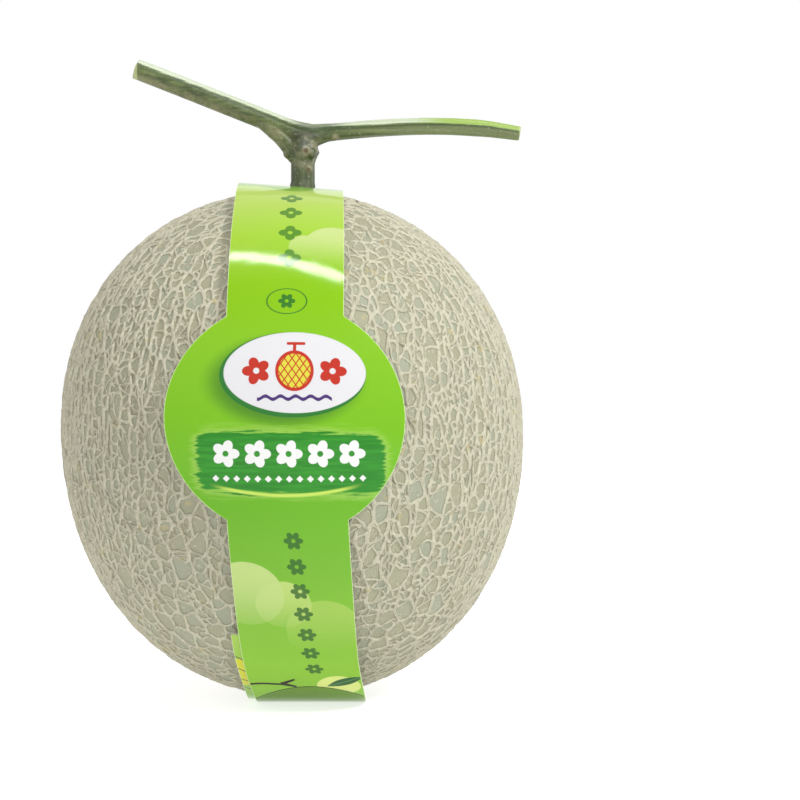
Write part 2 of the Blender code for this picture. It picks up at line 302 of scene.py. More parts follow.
class NetMap:
    """Carries the net from an evenly netted ball to the fruit, where cells have the listed sizes."""

    def __init__(self):
        steps = 4000
        self.latitude = np.radians(np.linspace(-89.95, 89.95, steps))
        degrees, widths, heights = (np.array(column) for column in zip(*CELL_SIZES))
        width = np.interp(np.degrees(self.latitude), degrees, widths) * MM
        height = np.interp(np.degrees(self.latitude), degrees, heights) * MM
        out, rise = skin_profile(self.latitude)
        along = np.hypot(np.gradient(out), np.gradient(rise))
        cells = 2 * math.pi * out * along / (width * height)
        self.cells_below = np.cumsum(cells)
        self.count = int(self.cells_below[-1])
        climb = along / np.maximum(out, 1e-9) * width / height
        climb = np.cumsum(climb)
        climb -= np.interp(0.0, self.latitude, climb)
        self.ball_latitude = np.arctan(np.sinh(climb))
        self.spacing = np.sqrt(width * height) * np.cos(self.ball_latitude) / np.maximum(out, 1e-9)
        self.spacing *= np.sqrt(width / height)

    def seeds(self, rng):
        """Directions on the ball, one for each cell."""
        index = np.arange(self.count)
        latitude = np.interp(index + 0.5, self.cells_below, self.latitude)
        ball = np.interp(latitude, self.latitude, self.ball_latitude)
        nudge = np.interp(latitude, self.latitude, self.spacing) * CELL_JITTER
        turn = index * GOLDEN_ANGLE
        places = np.column_stack((np.cos(ball) * np.cos(turn), np.cos(ball) * np.sin(turn), np.sin(ball)))
        places += nudge[:, None] * rng.normal(size=places.shape)
        return places / np.linalg.norm(places, axis=1)[:, None]

    def skin(self, directions):
        """Points on the fruit's skin for directions on the ball."""
        flat = np.hypot(directions[:, 0], directions[:, 1])
        ball = np.arctan2(directions[:, 2], flat)
        latitude = np.interp(ball, self.ball_latitude, self.latitude)
        longitude = np.arctan2(directions[:, 1], directions[:, 0])
        out, rise = skin_profile(latitude)
        x = out * np.cos(longitude) + LEAN * rise
        return np.column_stack((x, out * np.sin(longitude), flatten_crown(WIDEST_HEIGHT + rise, x)))

    def outward(self, directions):
        """Unit vectors away from the skin."""
        side = np.cross(directions, (0.31, 0.17, 0.93))
        side /= np.linalg.norm(side, axis=1)[:, None]
        up = np.cross(side, directions)
        small = 2e-3
        across = self.skin(directions + small * side) - self.skin(directions - small * side)
        upward = self.skin(directions - small * up) - self.skin(directions + small * up)
        normal = np.cross(across, upward)
        normal /= np.linalg.norm(normal, axis=1)[:, None]
        middle = np.array((0.0, 0.0, WIDEST_HEIGHT))
        wrong = np.einsum("ij,ij->i", normal, self.skin(directions) - middle) < 0
        normal[wrong] *= -1
        return normal


def lay_cells(net_map, rng):
    """The net on the ball: places of the corners, and each cell as corner numbers in order round it.

    Seen from one seed, a ball's even triangles are a flat sheet's, so the seeds are laid flat first.
    """
    seeds = net_map.seeds(rng)
    pole = seeds[0]
    side = np.cross(pole, (0.0, 1.0, 0.0))
    side /= np.linalg.norm(side)
    up = np.cross(pole, side)
    rest = seeds[1:]
    scale = 1 / (1 - rest @ pole)
    flat = np.column_stack((rest @ side * scale, rest @ up * scale))
    faces = geometry.delaunay_2d_cdt([Vector(point) for point in flat], [], [], 0, 1e-9)[2]
    triangles = [tuple(corner + 1 for corner in face) for face in faces]
    sides = {(face[turn], face[(turn + 1) % 3]) for face in triangles for turn in range(3)}
    triangles += [(last, first, 0) for first, last in sides if (last, first) not in sides]

    corners, around = [], [[] for _ in seeds]
    for face in triangles:
        first, second, third = seeds[list(face)]
        normal = np.cross(second - first, third - first)
        normal *= np.sign(normal @ (first + second + third)) / np.linalg.norm(normal)
        for seed in face:
            around[seed].append(len(corners))
        corners.append(Vector(normal))
    cells = []
    for seed, numbers in enumerate(around):
        here = Vector(seeds[seed])
        right = here.orthogonal().normalized()
        ahead = here.cross(right)

        def turn(number):
            return math.atan2(corners[number].dot(ahead), corners[number].dot(right))

        cells.append(sorted(numbers, key=turn))
    return corners, cells


def bulges(ring, corners):
    """Whether a cell has no deep notch."""
    places = [corners[number] for number in ring]
    for last, here, after in zip(places[-1:] + places[:-1], places, places[1:] + places[:1]):
        along, onward = (here - last).normalized(), (after - here).normalized()
        if along.cross(onward).dot(here) < -DEEPEST_NOTCH or along.dot(onward) < -SHARPEST_TURN:
            return False
    return True


def join_close_corners(corners, cells):
    """Draws corners that nearly touch together into one, so that four or more strokes can meet."""
    cells_at = {number: set() for number in range(len(corners))}
    for cell, numbers in enumerate(cells):
        for number in numbers:
            cells_at[number].add(cell)
    for cell, numbers in enumerate(cells):
        for first, last in [(numbers[turn - 1], numbers[turn]) for turn in range(len(numbers))]:
            if first not in cells[cell] or last not in cells[cell]:
                continue
            shared = cells_at[first] & cells_at[last]
            near = (corners[first] - corners[last]).length < SHORTEST_STROKE / FRUIT_RADIUS
            if not near or len(shared) != 2 or any(len(cells[other]) < 4 for other in shared):
                continue
            before = corners[first]
            corners[first] = ((corners[first] + corners[last]) / 2).normalized()
            joined = {}
            for other in sorted(cells_at[first] | cells_at[last]):
                ring = [first if number == last else number for number in cells[other]]
                joined[other] = [number for turn, number in enumerate(ring) if number != ring[turn - 1]]
            if not all(bulges(ring, corners) for ring in joined.values()):
                corners[first] = before
                continue
            for other, ring in joined.items():
                cells[other] = ring
            cells_at[first] |= cells_at[last]
            cells_at[last] = set()


class Net:
    """The net's points on the skin, how strong and wide their ridges are, and the cells between them."""

    def __init__(self, net_map):
        corners, cells = lay_cells(net_map, np.random.default_rng(NET_SEED))
        join_close_corners(corners, cells)
        self.directions = list(corners)
        self.strength = [1.0] * len(corners)
        self.width = [0.0] * len(corners)
        self.parts = {}
        skin = net_map.skin(wander(self.directions))
        covered = under_card(skin)
        for cell in cells:
            for first, last in zip(cell, cell[1:] + cell[:1]):
                if (last, first) not in self.parts:
                    stroke = skin[last] - skin[first]
                    length = float(np.linalg.norm(stroke))
                    upright = abs(stroke[2]) / length
                    self.draw(first, last, 0.0 if covered[first] and covered[last] else length, upright)
        self.calm(net_map, cells)
        self.meeting = set(range(len(corners)))
        waiting = [(f"cell {number}", self.outline(cell)) for number, cell in enumerate(cells)]
        self.cells = []
        while waiting:
            name, cell = waiting.pop()
            hidden = under_card(np.array([self.skin[number] for number in cell])).all()
            halves = [] if hidden else self.split(name, cell)
            waiting += [(f"{name} {half}", part) for half, part in enumerate(halves)]
            if not halves:
                self.cells.append((name, cell))
        self.untangle()

    def draw(self, first, last, length, upright):
        """One wavering ridge between two corners; a few are broken, and level ones are finer."""
        chance = random.Random(f"stroke {first} {last} {NET_SEED}")
        start, end = self.directions[first], self.directions[last]
        across = start.cross(end).normalized() * (end - start).length
        wide = chance.uniform(0.55, 0.90) + 0.52 * upright**2
        for corner in (first, last):
            self.width[corner] = max(self.width[corner], wide)
        count = max(1, min(MOST_STROKE_PARTS, round(length / STROKE_PART)))
        bow, wave = within(chance.gauss(0, 0.08), 0.13), within(chance.gauss(0, 0.05), 0.09)
        broken = count > 1 and chance.random() < 0.12 - 0.08 * upright
        gap = chance.randrange(1, count) if broken else 0
        made = []
        for part in range(1, count):
            share = (part + chance.uniform(-0.2, 0.2)) / count
            sway = bow * math.sin(math.pi * share) + wave * math.sin(2 * math.pi * share)
            sway += chance.uniform(-0.03, 0.03)
            made.append(len(self.directions))
            self.directions.append((start.lerp(end, share) + sway * across).normalized())
            self.strength.append(chance.uniform(0.0, 0.2) if part == gap else chance.uniform(0.78, 1.0))
            self.width.append(wide * chance.uniform(0.82, 1.18))
        self.parts[first, last] = made

    def calm(self, net_map, cells):
        """Straightens the strokes of cells that are too bent to hold a floor."""
        for _ in range(CALMING_ROUNDS):
            moved = wander(self.directions)
            self.skin, self.outward = list(net_map.skin(moved)), list(net_map.outward(moved))
            for cell in cells:
                index = self.outline(cell)
                up = np.mean([self.outward[number] for number in index], axis=0)
                if heart(np.array([self.skin[number] for number in index]), up) is not None:
                    continue
                for first, last in zip(cell, cell[1:] + cell[:1]):
                    if (last, first) in self.parts:
                        first, last = last, first
                    made = self.parts[first, last]
                    for part, number in enumerate(made):
                        share = (part + 1) / (len(made) + 1)
                        straight = self.directions[first].lerp(self.directions[last], share)
                        self.directions[number] = self.directions[number].lerp(straight, 0.5).normalized()

    def untangle(self):
        """Draws the points of cells that can't hold a floor to the middle of their neighbours."""
        beside = {}
        for _, cell in self.cells:
            for first, last in zip(cell, cell[1:] + cell[:1]):
                beside.setdefault(first, set()).add(last)
                beside.setdefault(last, set()).add(first)
        watched = self.cells
        for _ in range(UNTANGLING_ROUNDS):
            tangled = set()
            for _, cell in watched:
                up = np.mean([self.outward[number] for number in cell], axis=0)
                if heart(np.array([self.skin[number] for number in cell]), up) is None:
                    tangled.update(cell)
            for number in sorted(tangled):
                self.skin[number] = np.mean([self.skin[other] for other in sorted(beside[number])], axis=0)
            watched = [named for named in self.cells if not tangled.isdisjoint(named[1])]

    def outline(self, cell):
        """The numbers of a cell's points, in order round it."""
        index = []
        for first, last in zip(cell, cell[1:] + cell[:1]):
            forward = (first, last) in self.parts
            index += [first, *(self.parts[first, last] if forward else self.parts[last, first][::-1])]
        return index

    def split(self, name, cell):
        """Splits a long or bent cell by a fine rung from side to side. Returns the two cells, or none."""
        chance = random.Random(f"split {name} {NET_SEED}")
        place = np.array([self.skin[number] for number in cell])
        up = np.mean([self.outward[number] for number in cell], axis=0)
        flat = place - place.mean(0)
        axes = np.linalg.svd(flat)[2]
        along, across = flat @ axes[0], flat @ axes[1]
        length = along.max() - along.min()
        slender = length / max(across.max() - across.min(), 1e-9)
        bent = heart(place, up) is None
        small = len(cell) < 8 or slender < 1.25
        if not bent and (small or length < LONGEST_CELL * chance.uniform(0.70, 1.50)):
            return []
        if bent:
            ends = best_cut(place, up)
        else:
            level = along.min() + length * chance.uniform(0.32, 0.68)
            tilt = length * chance.uniform(-0.16, 0.16)
            free = [turn for turn in range(len(cell)) if cell[turn] not in self.meeting]
            sides = [(sign, [turn for turn in free if across[turn] * sign > 0]) for sign in (1, -1)]
            ends = sorted(
                min(side, key=lambda turn: abs(along[turn] - level - sign * tilt)) for sign, side in sides
            ) if all(side for _, side in sides) else None
        if not ends:
            return []
        first, last = ends
        width = float(np.linalg.norm(place[last] - place[first]))
        least = min(last - first, first - last + len(cell))
        if not bent and (width < NARROWEST_RUNG or width > 0.9 * length or least < 3):
            return []
        self.meeting.update((cell[first], cell[last]))
        rung = [] if bent else self.rung(cell[first], cell[last], width, chance)
        return [cell[first:last + 1] + rung[::-1], cell[last:] + cell[:first + 1] + rung]

    def rung(self, start, end, width, chance):
        """The new points of a fine ridge across a cell; some stop short."""
        outward = self.outward[start] + self.outward[end]
        outward /= np.linalg.norm(outward)
        step = self.skin[end] - self.skin[start]
        aside = np.cross(outward, step)
        count = max(1, min(MOST_RUNG_PARTS, round(width / STROKE_PART)))
        bow = within(chance.gauss(0, 0.09), 0.15)
        wide = chance.uniform(0.50, 0.86)
        gap = chance.randrange(1, count) if count > 1 and chance.random() < 0.24 else 0
        made = []
        for part in range(1, count):
            share = part / count + chance.uniform(-0.05, 0.05)
            sway = bow * math.sin(math.pi * share) + chance.gauss(0, 0.02)
            made.append(len(self.skin))
            self.skin.append(self.skin[start] + share * step + sway * aside)
            self.outward.append(outward)
            self.strength.append(chance.uniform(0.0, 0.15) if part == gap else chance.uniform(0.75, 1.0))
            self.width.append(wide * chance.uniform(0.85, 1.15))
        return made


def wander(directions):
    """Directions on the ball, shifted so that the whole net meanders."""
    noise.seed_set(WANDER_SEED)
    moved = []
    for here in directions:
        there = here.copy()
        for scale, strength in WANDER:
            there += noise.noise_vector(here * scale) * strength
        moved.append(there.normalized())
    return np.array(moved)


def within(value, most):
    """The value, kept between minus most and most."""
    return max(-most, min(most, value))


def heart(place, up):
    """A point from which a cell's whole outline can be seen, or None."""
    chance = random.Random(len(place))
    middle = place.mean(0)
    after = np.roll(place, -1, axis=0)
    least = 0.03 * MM * np.linalg.norm(after - place, axis=1)
    for _ in range(HEART_TRIES):
        if (np.cross(place - middle, after - middle) @ up > least).all():
            return middle
        share = np.array([chance.random() ** 3 for _ in place])
        middle = share @ place / share.sum()
    return None


def best_cut(place, up):
    """Between which two corners a bent cell is best cut, so that its halves can hold floors, or None."""
    best, ends = 1.0, None
    for first in range(len(place) - 2):
        for last in range(first + 2, len(place) - (first == 0)):
            halves = place[first:last + 1], np.vstack((place[last:], place[:first + 1]))
            areas = [float((np.cross(half, np.roll(half, -1, axis=0)) @ up).sum()) for half in halves]
            if min(areas) <= 0:
                continue
            score = sum(heart(half, up) is not None for half in halves) + min(areas) / sum(areas)
            if score > best:
                best, ends = score, (first, last)
    return ends


def under_card(points):
    """Whether points on the skin lie well under the card band, where the net can be simple."""
    x, y, z = points.T
    badge = (y < 0) & (np.hypot(x + 0.0022, z - BADGE_HEIGHT) < BADGE_RADIUS - 0.003)
    return badge | (np.abs(x) < STRIP_HALF_WIDTH - 0.0035)


def folds(place, foot, middle, up):
    """Whether any slope or floor triangle of a cell faces inwards."""
    place_next, foot_next = np.roll(place, -1, axis=0), np.roll(foot, -1, axis=0)
    corners = (place, place_next, foot_next), (place, foot_next, foot), (foot, foot_next, middle + 0 * foot)
    return any((np.cross(b - a, c - a) @ up < 0).any() for a, b, c in corners)


def raise_net(net):
    """The fruit's mesh: crests on the strokes, and in each cell a slope and a sunken floor."""
    skin, outward = np.array(net.skin), np.array(net.outward)
    strength, width = np.array(net.strength), np.array(net.width)
    fine = np.clip(1.15 - width, 0.0, 0.6)
    crest_drop = CREST_ROOM + RIDGE_HEIGHT * (0.95 * (1 - strength) + 0.55 * fine)
    grain = np.array([noise.noise(Vector(point) * CREST_GRAIN_SCALE) for point in skin])
    crest_drop += CREST_GRAIN * (0.5 + 0.5 * grain)
    points = [skin - outward * crest_drop[:, None]]
    kept_net, kept_tint = [strength * (1 - 0.25 * fine)], [np.full(len(skin), 0.5)]
    faces, count = [], len(skin)
    for name, cell in net.cells:
        chance = random.Random(f"floor {name} {NET_SEED}")
        index = np.array(cell)
        place, normal, sides = skin[index], outward[index], len(index)
        up = normal.mean(0) / np.linalg.norm(normal.mean(0))
        middle = heart(place, up)
        if middle is None:
            faces.append(tuple(cell))
            continue
        narrow = np.ptp((place - middle) @ np.linalg.svd(place - middle)[2][1])
        to_next = np.roll(place, -1, axis=0) - place
        to_next /= np.maximum(np.linalg.norm(to_next, axis=1)[:, None], 1e-9)
        to_last = -np.roll(to_next, 1, axis=0)
        inward = np.cross(normal, to_next) - np.cross(normal, to_last)
        inward /= np.maximum(np.linalg.norm(inward, axis=1)[:, None], 1e-9)
        arm = middle - place
        reach = np.linalg.norm(arm, axis=1)[:, None]
        half_sine = np.sqrt(np.clip((1 - np.einsum("ij,ij->i", to_next, to_last)) / 2, 0.25, 1.0))
        slope = RIDGE_FOOT * width[index] * (0.45 + 0.55 * strength[index]) / half_sine
        slope *= np.array([chance.uniform(0.80, 1.20) for _ in index])
        slope = np.minimum(slope[:, None], np.minimum(0.60 * reach, 0.34 * narrow / half_sine[:, None]))
        for own_share in (0.2, 0.5, 0.8, 1.0):
            lean = (1 - own_share) * inward + own_share * arm / reach
            lean /= np.maximum(np.linalg.norm(lean, axis=1)[:, None], 1e-9)
            foot = place + lean * slope
            foot = 0.84 * foot + 0.08 * (np.roll(foot, 1, axis=0) + np.roll(foot, -1, axis=0))
            if not folds(place, foot, middle, up):
                break
        else:
            foot = place + 0.5 * arm
        deep = CREST_ROOM + min(RIDGE_HEIGHT * chance.uniform(0.85, 1.1), 0.46 * narrow)
        points.append(foot - normal * deep)
        kept_net.append(np.zeros(sides))
        kept_tint.append(np.full(sides, chance.random()))
        for side in range(sides):
            after = (side + 1) % sides
            faces.append((cell[side], cell[after], count + after, count + side))
        faces.append(tuple(range(count, count + sides)))
        count += sides
    points = np.vstack(points)
    points[:, 2] = np.maximum(points[:, 2], FLAT_SPOT_HEIGHT)
    return points, faces, np.concatenate(kept_net), np.concatenate(kept_tint)


def build_fruit():
    """The whole fruit as one closed skin with its corky net."""
    net = Net(NetMap())
    points, faces, net_share, tint = raise_net(net)
    mesh = bpy.data.meshes.new("netted_fruit")
    mesh.from_pydata(points.tolist(), [], faces)
    mesh.update()
    for name, values in (("net", net_share), ("cell_tint", tint)):
        mesh.attributes.new(name, "FLOAT", "POINT").data.foreach_set("value", values.astype(np.float32))
    mesh.shade_smooth()
    ends = np.empty(2 * len(mesh.edges), np.int32)
    mesh.edges.foreach_get("vertices", ends)
    on_floor = np.arange(len(points)) >= len(net.skin)
    crisp = on_floor[ends].reshape(-1, 2).all(axis=1)
    mesh.attributes.new("sharp_edge", "BOOLEAN", "EDGE").data.foreach_set("value", crisp)
    fruit = bpy.data.objects.new("netted_fruit", mesh)
    bpy.context.scene.collection.objects.link(fruit)
    finish_piece(fruit, "fruit", rind_finish())


CORK_WARM, CORK_DULL = (0.468, 0.448, 0.336), (0.446, 0.419, 0.322)
CORK_PALE, CORK_RUSTY, CORK_CRACK = (0.581, 0.559, 0.431), (0.493, 0.396, 0.290), (0.306, 0.285, 0.187)
FLOOR_OLIVE, FLOOR_GREY, FLOOR_PALE = (0.286, 0.280, 0.186), (0.274, 0.290, 0.212), (0.300, 0.296, 0.208)
FLOOR_GRAIN, FLOOR_THREAD = (0.359, 0.351, 0.257), (0.425, 0.408, 0.297)
# the first colour below is painted shade for the ridges' feet; the second is yellow spots on the rind
CREVICE_SHADE, YELLOW_SPOT = (0.150, 0.132, 0.072), (0.42, 0.35, 0.16)


def rind_finish():
    """Grey-green rind between matt, corky, beige ridges, with painted shade along the ridges' feet."""
    rind = Finish("netted_rind")
    place = rind.add("ShaderNodeTexCoord").outputs["Object"]
    net = rind.attribute("net")
    tint = rind.attribute("cell_tint")
    crumb = rind.noise(place, 1500, 3, 0.6)
    fine = rind.noise(place, 3800, 2, 0.6)
    broad = rind.noise(place, 28, 3, 0.55)
    patch = rind.noise(place, 130, 3, 0.6)

    ragged = Amount(rind, net) + (Amount(rind, crumb) - 0.5) * 0.60
    ridge_share = rind.ramp(ragged, 0.17, 0.35)

    # fine cracks in the cork, and corky threads on the floors
    nudges = [("Vector", place), ("Scale", 520.0), ("Detail", 2.0)]
    nudge = rind.add("ShaderNodeTexNoise", nudges).outputs["Color"]
    nudge = rind.vector("MULTIPLY", nudge, (0.0022, 0.0022, 0.0022))[0]
    tall = rind.stretched(rind.vector("ADD", place, nudge)[0], (1.0, 1.0, 0.55))
    cells = [("Vector", tall), ("Scale", 620.0)]
    cracks = rind.add("ShaderNodeTexVoronoi", cells, feature="DISTANCE_TO_EDGE")
    crack = Amount(rind, rind.ramp(cracks.outputs["Distance"], 0.11, 0.03))
    thread = crack * rind.ramp(rind.noise(place, 330, 1, 0.5), 0.46, 0.58)

    cork = rind.mix(rind.ramp(patch, 0.35, 0.65), CORK_WARM, CORK_DULL)
    cork = rind.mix(rind.ramp(fine, 0.30, 0.75, 0.0, 0.40), cork, CORK_PALE)
    cork = rind.mix(rind.ramp(rind.noise(place, 75, 2, 0.5), 0.60, 0.78, 0.0, 0.30), cork, CORK_RUSTY)
    cork = rind.mix(crack * 0.30, cork, CORK_CRACK)

    floor = rind.mix(rind.ramp(tint, 0.25, 1.0), FLOOR_OLIVE, FLOOR_GREY)
    floor = rind.mix(rind.ramp(broad, 0.35, 0.7, 0.0, 0.5), floor, FLOOR_PALE)
    floor = rind.mix(rind.ramp(fine, 0.35, 0.8, 0.0, 0.25), floor, FLOOR_GRAIN)
    floor = rind.mix(thread * 0.75, floor, FLOOR_THREAD)

    colour = rind.mix(ridge_share, floor, cork)
    # painted shade: darker where the ridges meet the sunken floors
    painted_crevice_shade = Amount(rind, rind.ramp(abs(ragged - 0.06), 0.20, 0.0)) * rind.ramp(net, 0.0, 0.05)
    colour = rind.mix(painted_crevice_shade * 0.48, colour, CREVICE_SHADE)
    spot = rind.ramp(rind.noise(place, 240, 1, 0.5), 0.70, 0.76, 0.0, 0.55)
    colour = rind.mix(spot, colour, YELLOW_SPOT)
    rind.put(rind.shader.inputs["Base Color"], colour)

    gloss = rind.mix(ridge_share, (0.56, 0.56, 0.56), (0.86, 0.86, 0.86))
    rough = Amount(rind, gloss) + (Amount(rind, patch) - 0.5) * 0.14
    rind.put(rind.shader.inputs["Roughness"], rough)
    rind.put(rind.shader.inputs["Specular IOR Level"], 0.35)
    grain = rind.bump(thread, 0.16 * MM, 0.8)
    grain = rind.bump(crumb, 0.16 * MM, 0.8, grain)
    grain = rind.bump(fine, 0.04 * MM, 0.7, grain)
    rind.put(rind.shader.inputs["Normal"], grain)
    return rind.material


# The card band


def hull(points):
    """The convex outline of points in a plane, anticlockwise."""
    points = sorted(set(points))

    def chain(ordered):
        kept = []
        for point in ordered:
            while len(kept) > 1:
                (ay, az), (by, bz) = kept[-2:]
                if (by - ay) * (point[1] - az) - (bz - az) * (point[0] - ay) > 0:
                    break
                kept.pop()
            kept.append(point)
        return kept[:-1]

    return chain(points) + chain(points[::-1])


class Loop:
    """The closed middle line of the band's outer layer in the plane x = 0.

    Places on it are lengths from the crown, down the front, under the fruit and up the back.
    """

    def __init__(self):
        off = CLEARANCE + CARD + CLEARANCE + CARD / 2
        points = [FOLD_PLACE, (-FOOT_HALF_LENGTH, CARD / 2), (FOOT_HALF_LENGTH, CARD / 2)]
        small = 1e-4
        for latitude in np.linspace(-math.pi / 2 + small, math.pi / 2 - small, 400):
            before, here = (np.array(skin_profile(latitude + step)) for step in (-small, 0.0))
            along = here - before
            out, up = np.array((along[1], -along[0])) / np.linalg.norm(along) * off
            height = max(float(flatten_crown(WIDEST_HEIGHT + here[1], 0)) + up, CARD / 2)
            points += [(here[0] + out, height), (-here[0] - out, height)]
        line = np.array(hull([(float(y), float(z)) for y, z in points]))
        line = np.roll(line, -int(line[:, 1].argmax()), axis=0)
        line = self.even(np.vstack((line, line[:1])), LOOP_STEP)
        reach = int(SOFTENING / LOOP_STEP)
        for _ in range(2):
            line = np.mean([np.roll(line, shift, axis=0) for shift in range(-reach, reach + 1)], axis=0)
        self.line = np.vstack((line, line[:1]))
        steps = np.linalg.norm(np.diff(self.line, axis=0), axis=1)
        self.at = np.concatenate(([0.0], np.cumsum(steps)))
        self.length = float(self.at[-1])

    @staticmethod
    def even(line, step):
        """The closed line with evenly spaced points, without its repeated end."""
        at = np.concatenate(([0.0], np.cumsum(np.linalg.norm(np.diff(line, axis=0), axis=1))))
        places = np.linspace(0, at[-1], int(at[-1] / step), endpoint=False)
        return np.column_stack([np.interp(places, at, line[:, axis]) for axis in (0, 1)])

    def point(self, place):
        """The y and z of a place, which may lie before the crown or past one whole lap."""
        place %= self.length
        return np.array([np.interp(place, self.at, self.line[:, axis]) for axis in (0, 1)])

    def outward(self, place):
        """The unit vector that points away from the fruit."""
        along = self.point(place + 0.0004) - self.point(place - 0.0004)
        along /= np.linalg.norm(along)
        return np.array((along[1], -along[0]))

    def front(self, height):
        """The place where the front of the loop passes a height."""
        half = self.at < self.length / 2
        return float(np.interp(-height, -self.line[half, 1], self.at[half]))


class Band:
    """Where each point of the card strip is, by its place along the loop and its distance sideways."""

    def __init__(self):
        self.loop = loop = Loop()
        lap = loop.length
        self.badge = loop.front(BADGE_HEIGHT)
        self.fold = loop.front(FOLD_PLACE[1] + CARD / 2)
        self.tail = loop.front(TAIL_TOP_HEIGHT) - lap
        foot = loop.front(CARD / 2 + 1e-6)
        self.end = foot + FOOT_HALF_LENGTH + OVERLAP_END_Y
        self.sideways = (  # place, x of the strip's middle
            (self.tail, 0.0016 + TAIL_OFFSET),
            (self.fold - lap, LOW_OFFSET + TAIL_OFFSET),
            (foot - lap, LOW_OFFSET + TAIL_OFFSET),
            (-0.30 * lap, 0.0015),
            (-0.05 * lap, 0.0),
            (0.0, 0.0),
            (loop.front(0.140), -0.0014),
            (loop.front(0.117), -0.0020),
            (self.badge, -0.0022),
            (loop.front(0.061), -0.0014),
            (loop.front(0.025), 0.0016),
            (loop.front(0.011), 0.0036),
            (self.fold, LOW_OFFSET),
            (self.end, LOW_OFFSET + 0.0006),
        )
        self.curved = (  # place, share of the full cross curve
            (self.tail, 0.3),
            (self.fold - lap, 0.0),
            (foot + 0.03 - lap, 0.0),
            (foot + 0.08 - lap, 0.8),
            (-0.050, 0.8),
            (-0.020, 0.0),
            (0.012, 0.0),
            (0.045, 1.0),
            (loop.front(0.045), 1.0),
            (loop.front(0.022), 0.3),
            (self.fold, 0.0),
        )

    def middle(self, place):
        """The x of the strip's middle, without kinks between the listed places."""
        spread = np.linspace(-0.012, 0.012, 9)
        return float(np.mean(np.interp(place + spread, *zip(*self.sideways))))

    def half_width(self, place):
        """Half the card's width: the round badge where that is wider than the strip."""
        narrow = STRIP_HALF_WIDTH + (STRIP_HALF_WIDTH_LOW - STRIP_HALF_WIDTH) * (place > self.badge)
        from_badge = abs(place - self.badge)
        if from_badge < BADGE_RADIUS:
            return max(narrow, math.sqrt(BADGE_RADIUS**2 - from_badge**2))
        return narrow

    def to_edge(self, place, across):
        """How far inside the card's outline a point is."""
        narrow = STRIP_HALF_WIDTH + (STRIP_HALF_WIDTH_LOW - STRIP_HALF_WIDTH) * (place > self.badge)
        return max(narrow - abs(across), BADGE_RADIUS - math.hypot(across, place - self.badge))

    def point(self, place, across):
        """A point of the card's middle layer, across metres to the right of the strip's middle."""
        y, z = self.loop.point(place)
        out_y, out_z = self.loop.outward(place)
        near_crown = 1 - smooth_share(abs(place), 0.012, 0.050)
        inner_layer = 1 - smooth_share(place, 0.0, 0.060)
        off = -LAYER_PITCH * inner_layer
        off -= across * math.tan(CROWN_TILT) * near_crown
        off -= float(np.interp(place, *zip(*self.curved))) * across**2 / (2 * CROSS_CURVE_RADIUS)
        return Vector((self.middle(place) + across, y + off * out_y, z + off * out_z))

    def rows(self):
        """Places along the strip, close together where it bends sharply and at the badge's rim."""
        corners = [self.badge - self.junction(), self.badge + self.junction()]
        places = [self.tail]
        while places[-1] < self.end - 0.0003:
            place = places[-1]
            from_fold = min(abs(place - self.fold), abs(place - self.fold + self.loop.length))
            from_rim = abs(abs(place - self.badge) - BADGE_RADIUS)
            step = 0.0006 if from_fold < 0.006 or from_rim < 0.006 else 0.0016
            ahead = [corner for corner in corners if place + 1e-6 < corner < place + 1.4 * step]
            places.append(ahead[0] if ahead else place + step)
        return [*places[:-1], self.end]

    def junction(self):
        """How far from the badge's middle its rim meets the strip."""
        return math.sqrt(BADGE_RADIUS**2 - STRIP_HALF_WIDTH_LOW**2)


def build_band():
    """The card strip with its badge, a hole for the stalk, pale cut edges and a printed face."""
    shape = Band()
    card = bmesh.new()
    print_map = card.loops.layers.uv.new("print")
    to_edge = card.verts.layers.float.new("to_edge")
    rows, marks = [], {}
    for place in shape.rows():
        half = shape.half_width(place)
        row = []
        for column in range(BAND_COLUMNS + 1):
            across = half * (2 * column / BAND_COLUMNS - 1)
            corner = card.verts.new(shape.point(place, across))
            corner[to_edge] = shape.to_edge(place, across) / MM
            marks[corner] = (across / MM, (place - shape.badge) / MM)
            row.append(corner)
        rows.append(row)
    for first, second in zip(rows, rows[1:]):
        for column in range(BAND_COLUMNS):
            face = card.faces.new((first[column], second[column], second[column + 1], first[column + 1]))
            for loop in face.loops:
                loop[print_map].uv = marks[loop.vert]
    mesh = bpy.data.meshes.new("printed_band")
    card.to_mesh(mesh)
    card.free()
    band = bpy.data.objects.new("printed_band", mesh)
    bpy.context.scene.collection.objects.link(band)
    finish_piece(band, "band", print_finish())
    for extra in (back_finish(), edge_finish()):
        mesh.materials.append(extra)

    clear_selection()
    bpy.context.view_layer.objects.active = band
    band.select_set(True)
    thick = band.modifiers.new("card", "SOLIDIFY")
    thick.thickness = CARD - 0.1 * MM
    thick.offset = 0
    thick.use_even_offset = True
    thick.material_offset = 1
    thick.material_offset_rim = 2
    bpy.ops.object.modifier_apply(modifier="card")
    bpy.ops.mesh.primitive_cylinder_add(
        vertices=64, radius=STALK_HOLE_RADIUS, depth=0.02, location=(STALK_X, 0, CROWN_HEIGHT)
    )
    punch = bpy.context.object
    punch.data.materials.append(mesh.materials[2])
    clear_selection()
    bpy.context.view_layer.objects.active = band
    band.select_set(True)
    hole = band.modifiers.new("stalk_hole", "BOOLEAN")
    hole.operation = "DIFFERENCE"
    hole.solver = "EXACT"
    hole.object = punch
    hole.material_mode = "TRANSFER"
    bpy.ops.object.modifier_apply(modifier="stalk_hole")
    bpy.data.objects.remove(punch)
    bpy.ops.object.shade_smooth_by_angle(angle=math.radians(CARD_SMOOTHING))


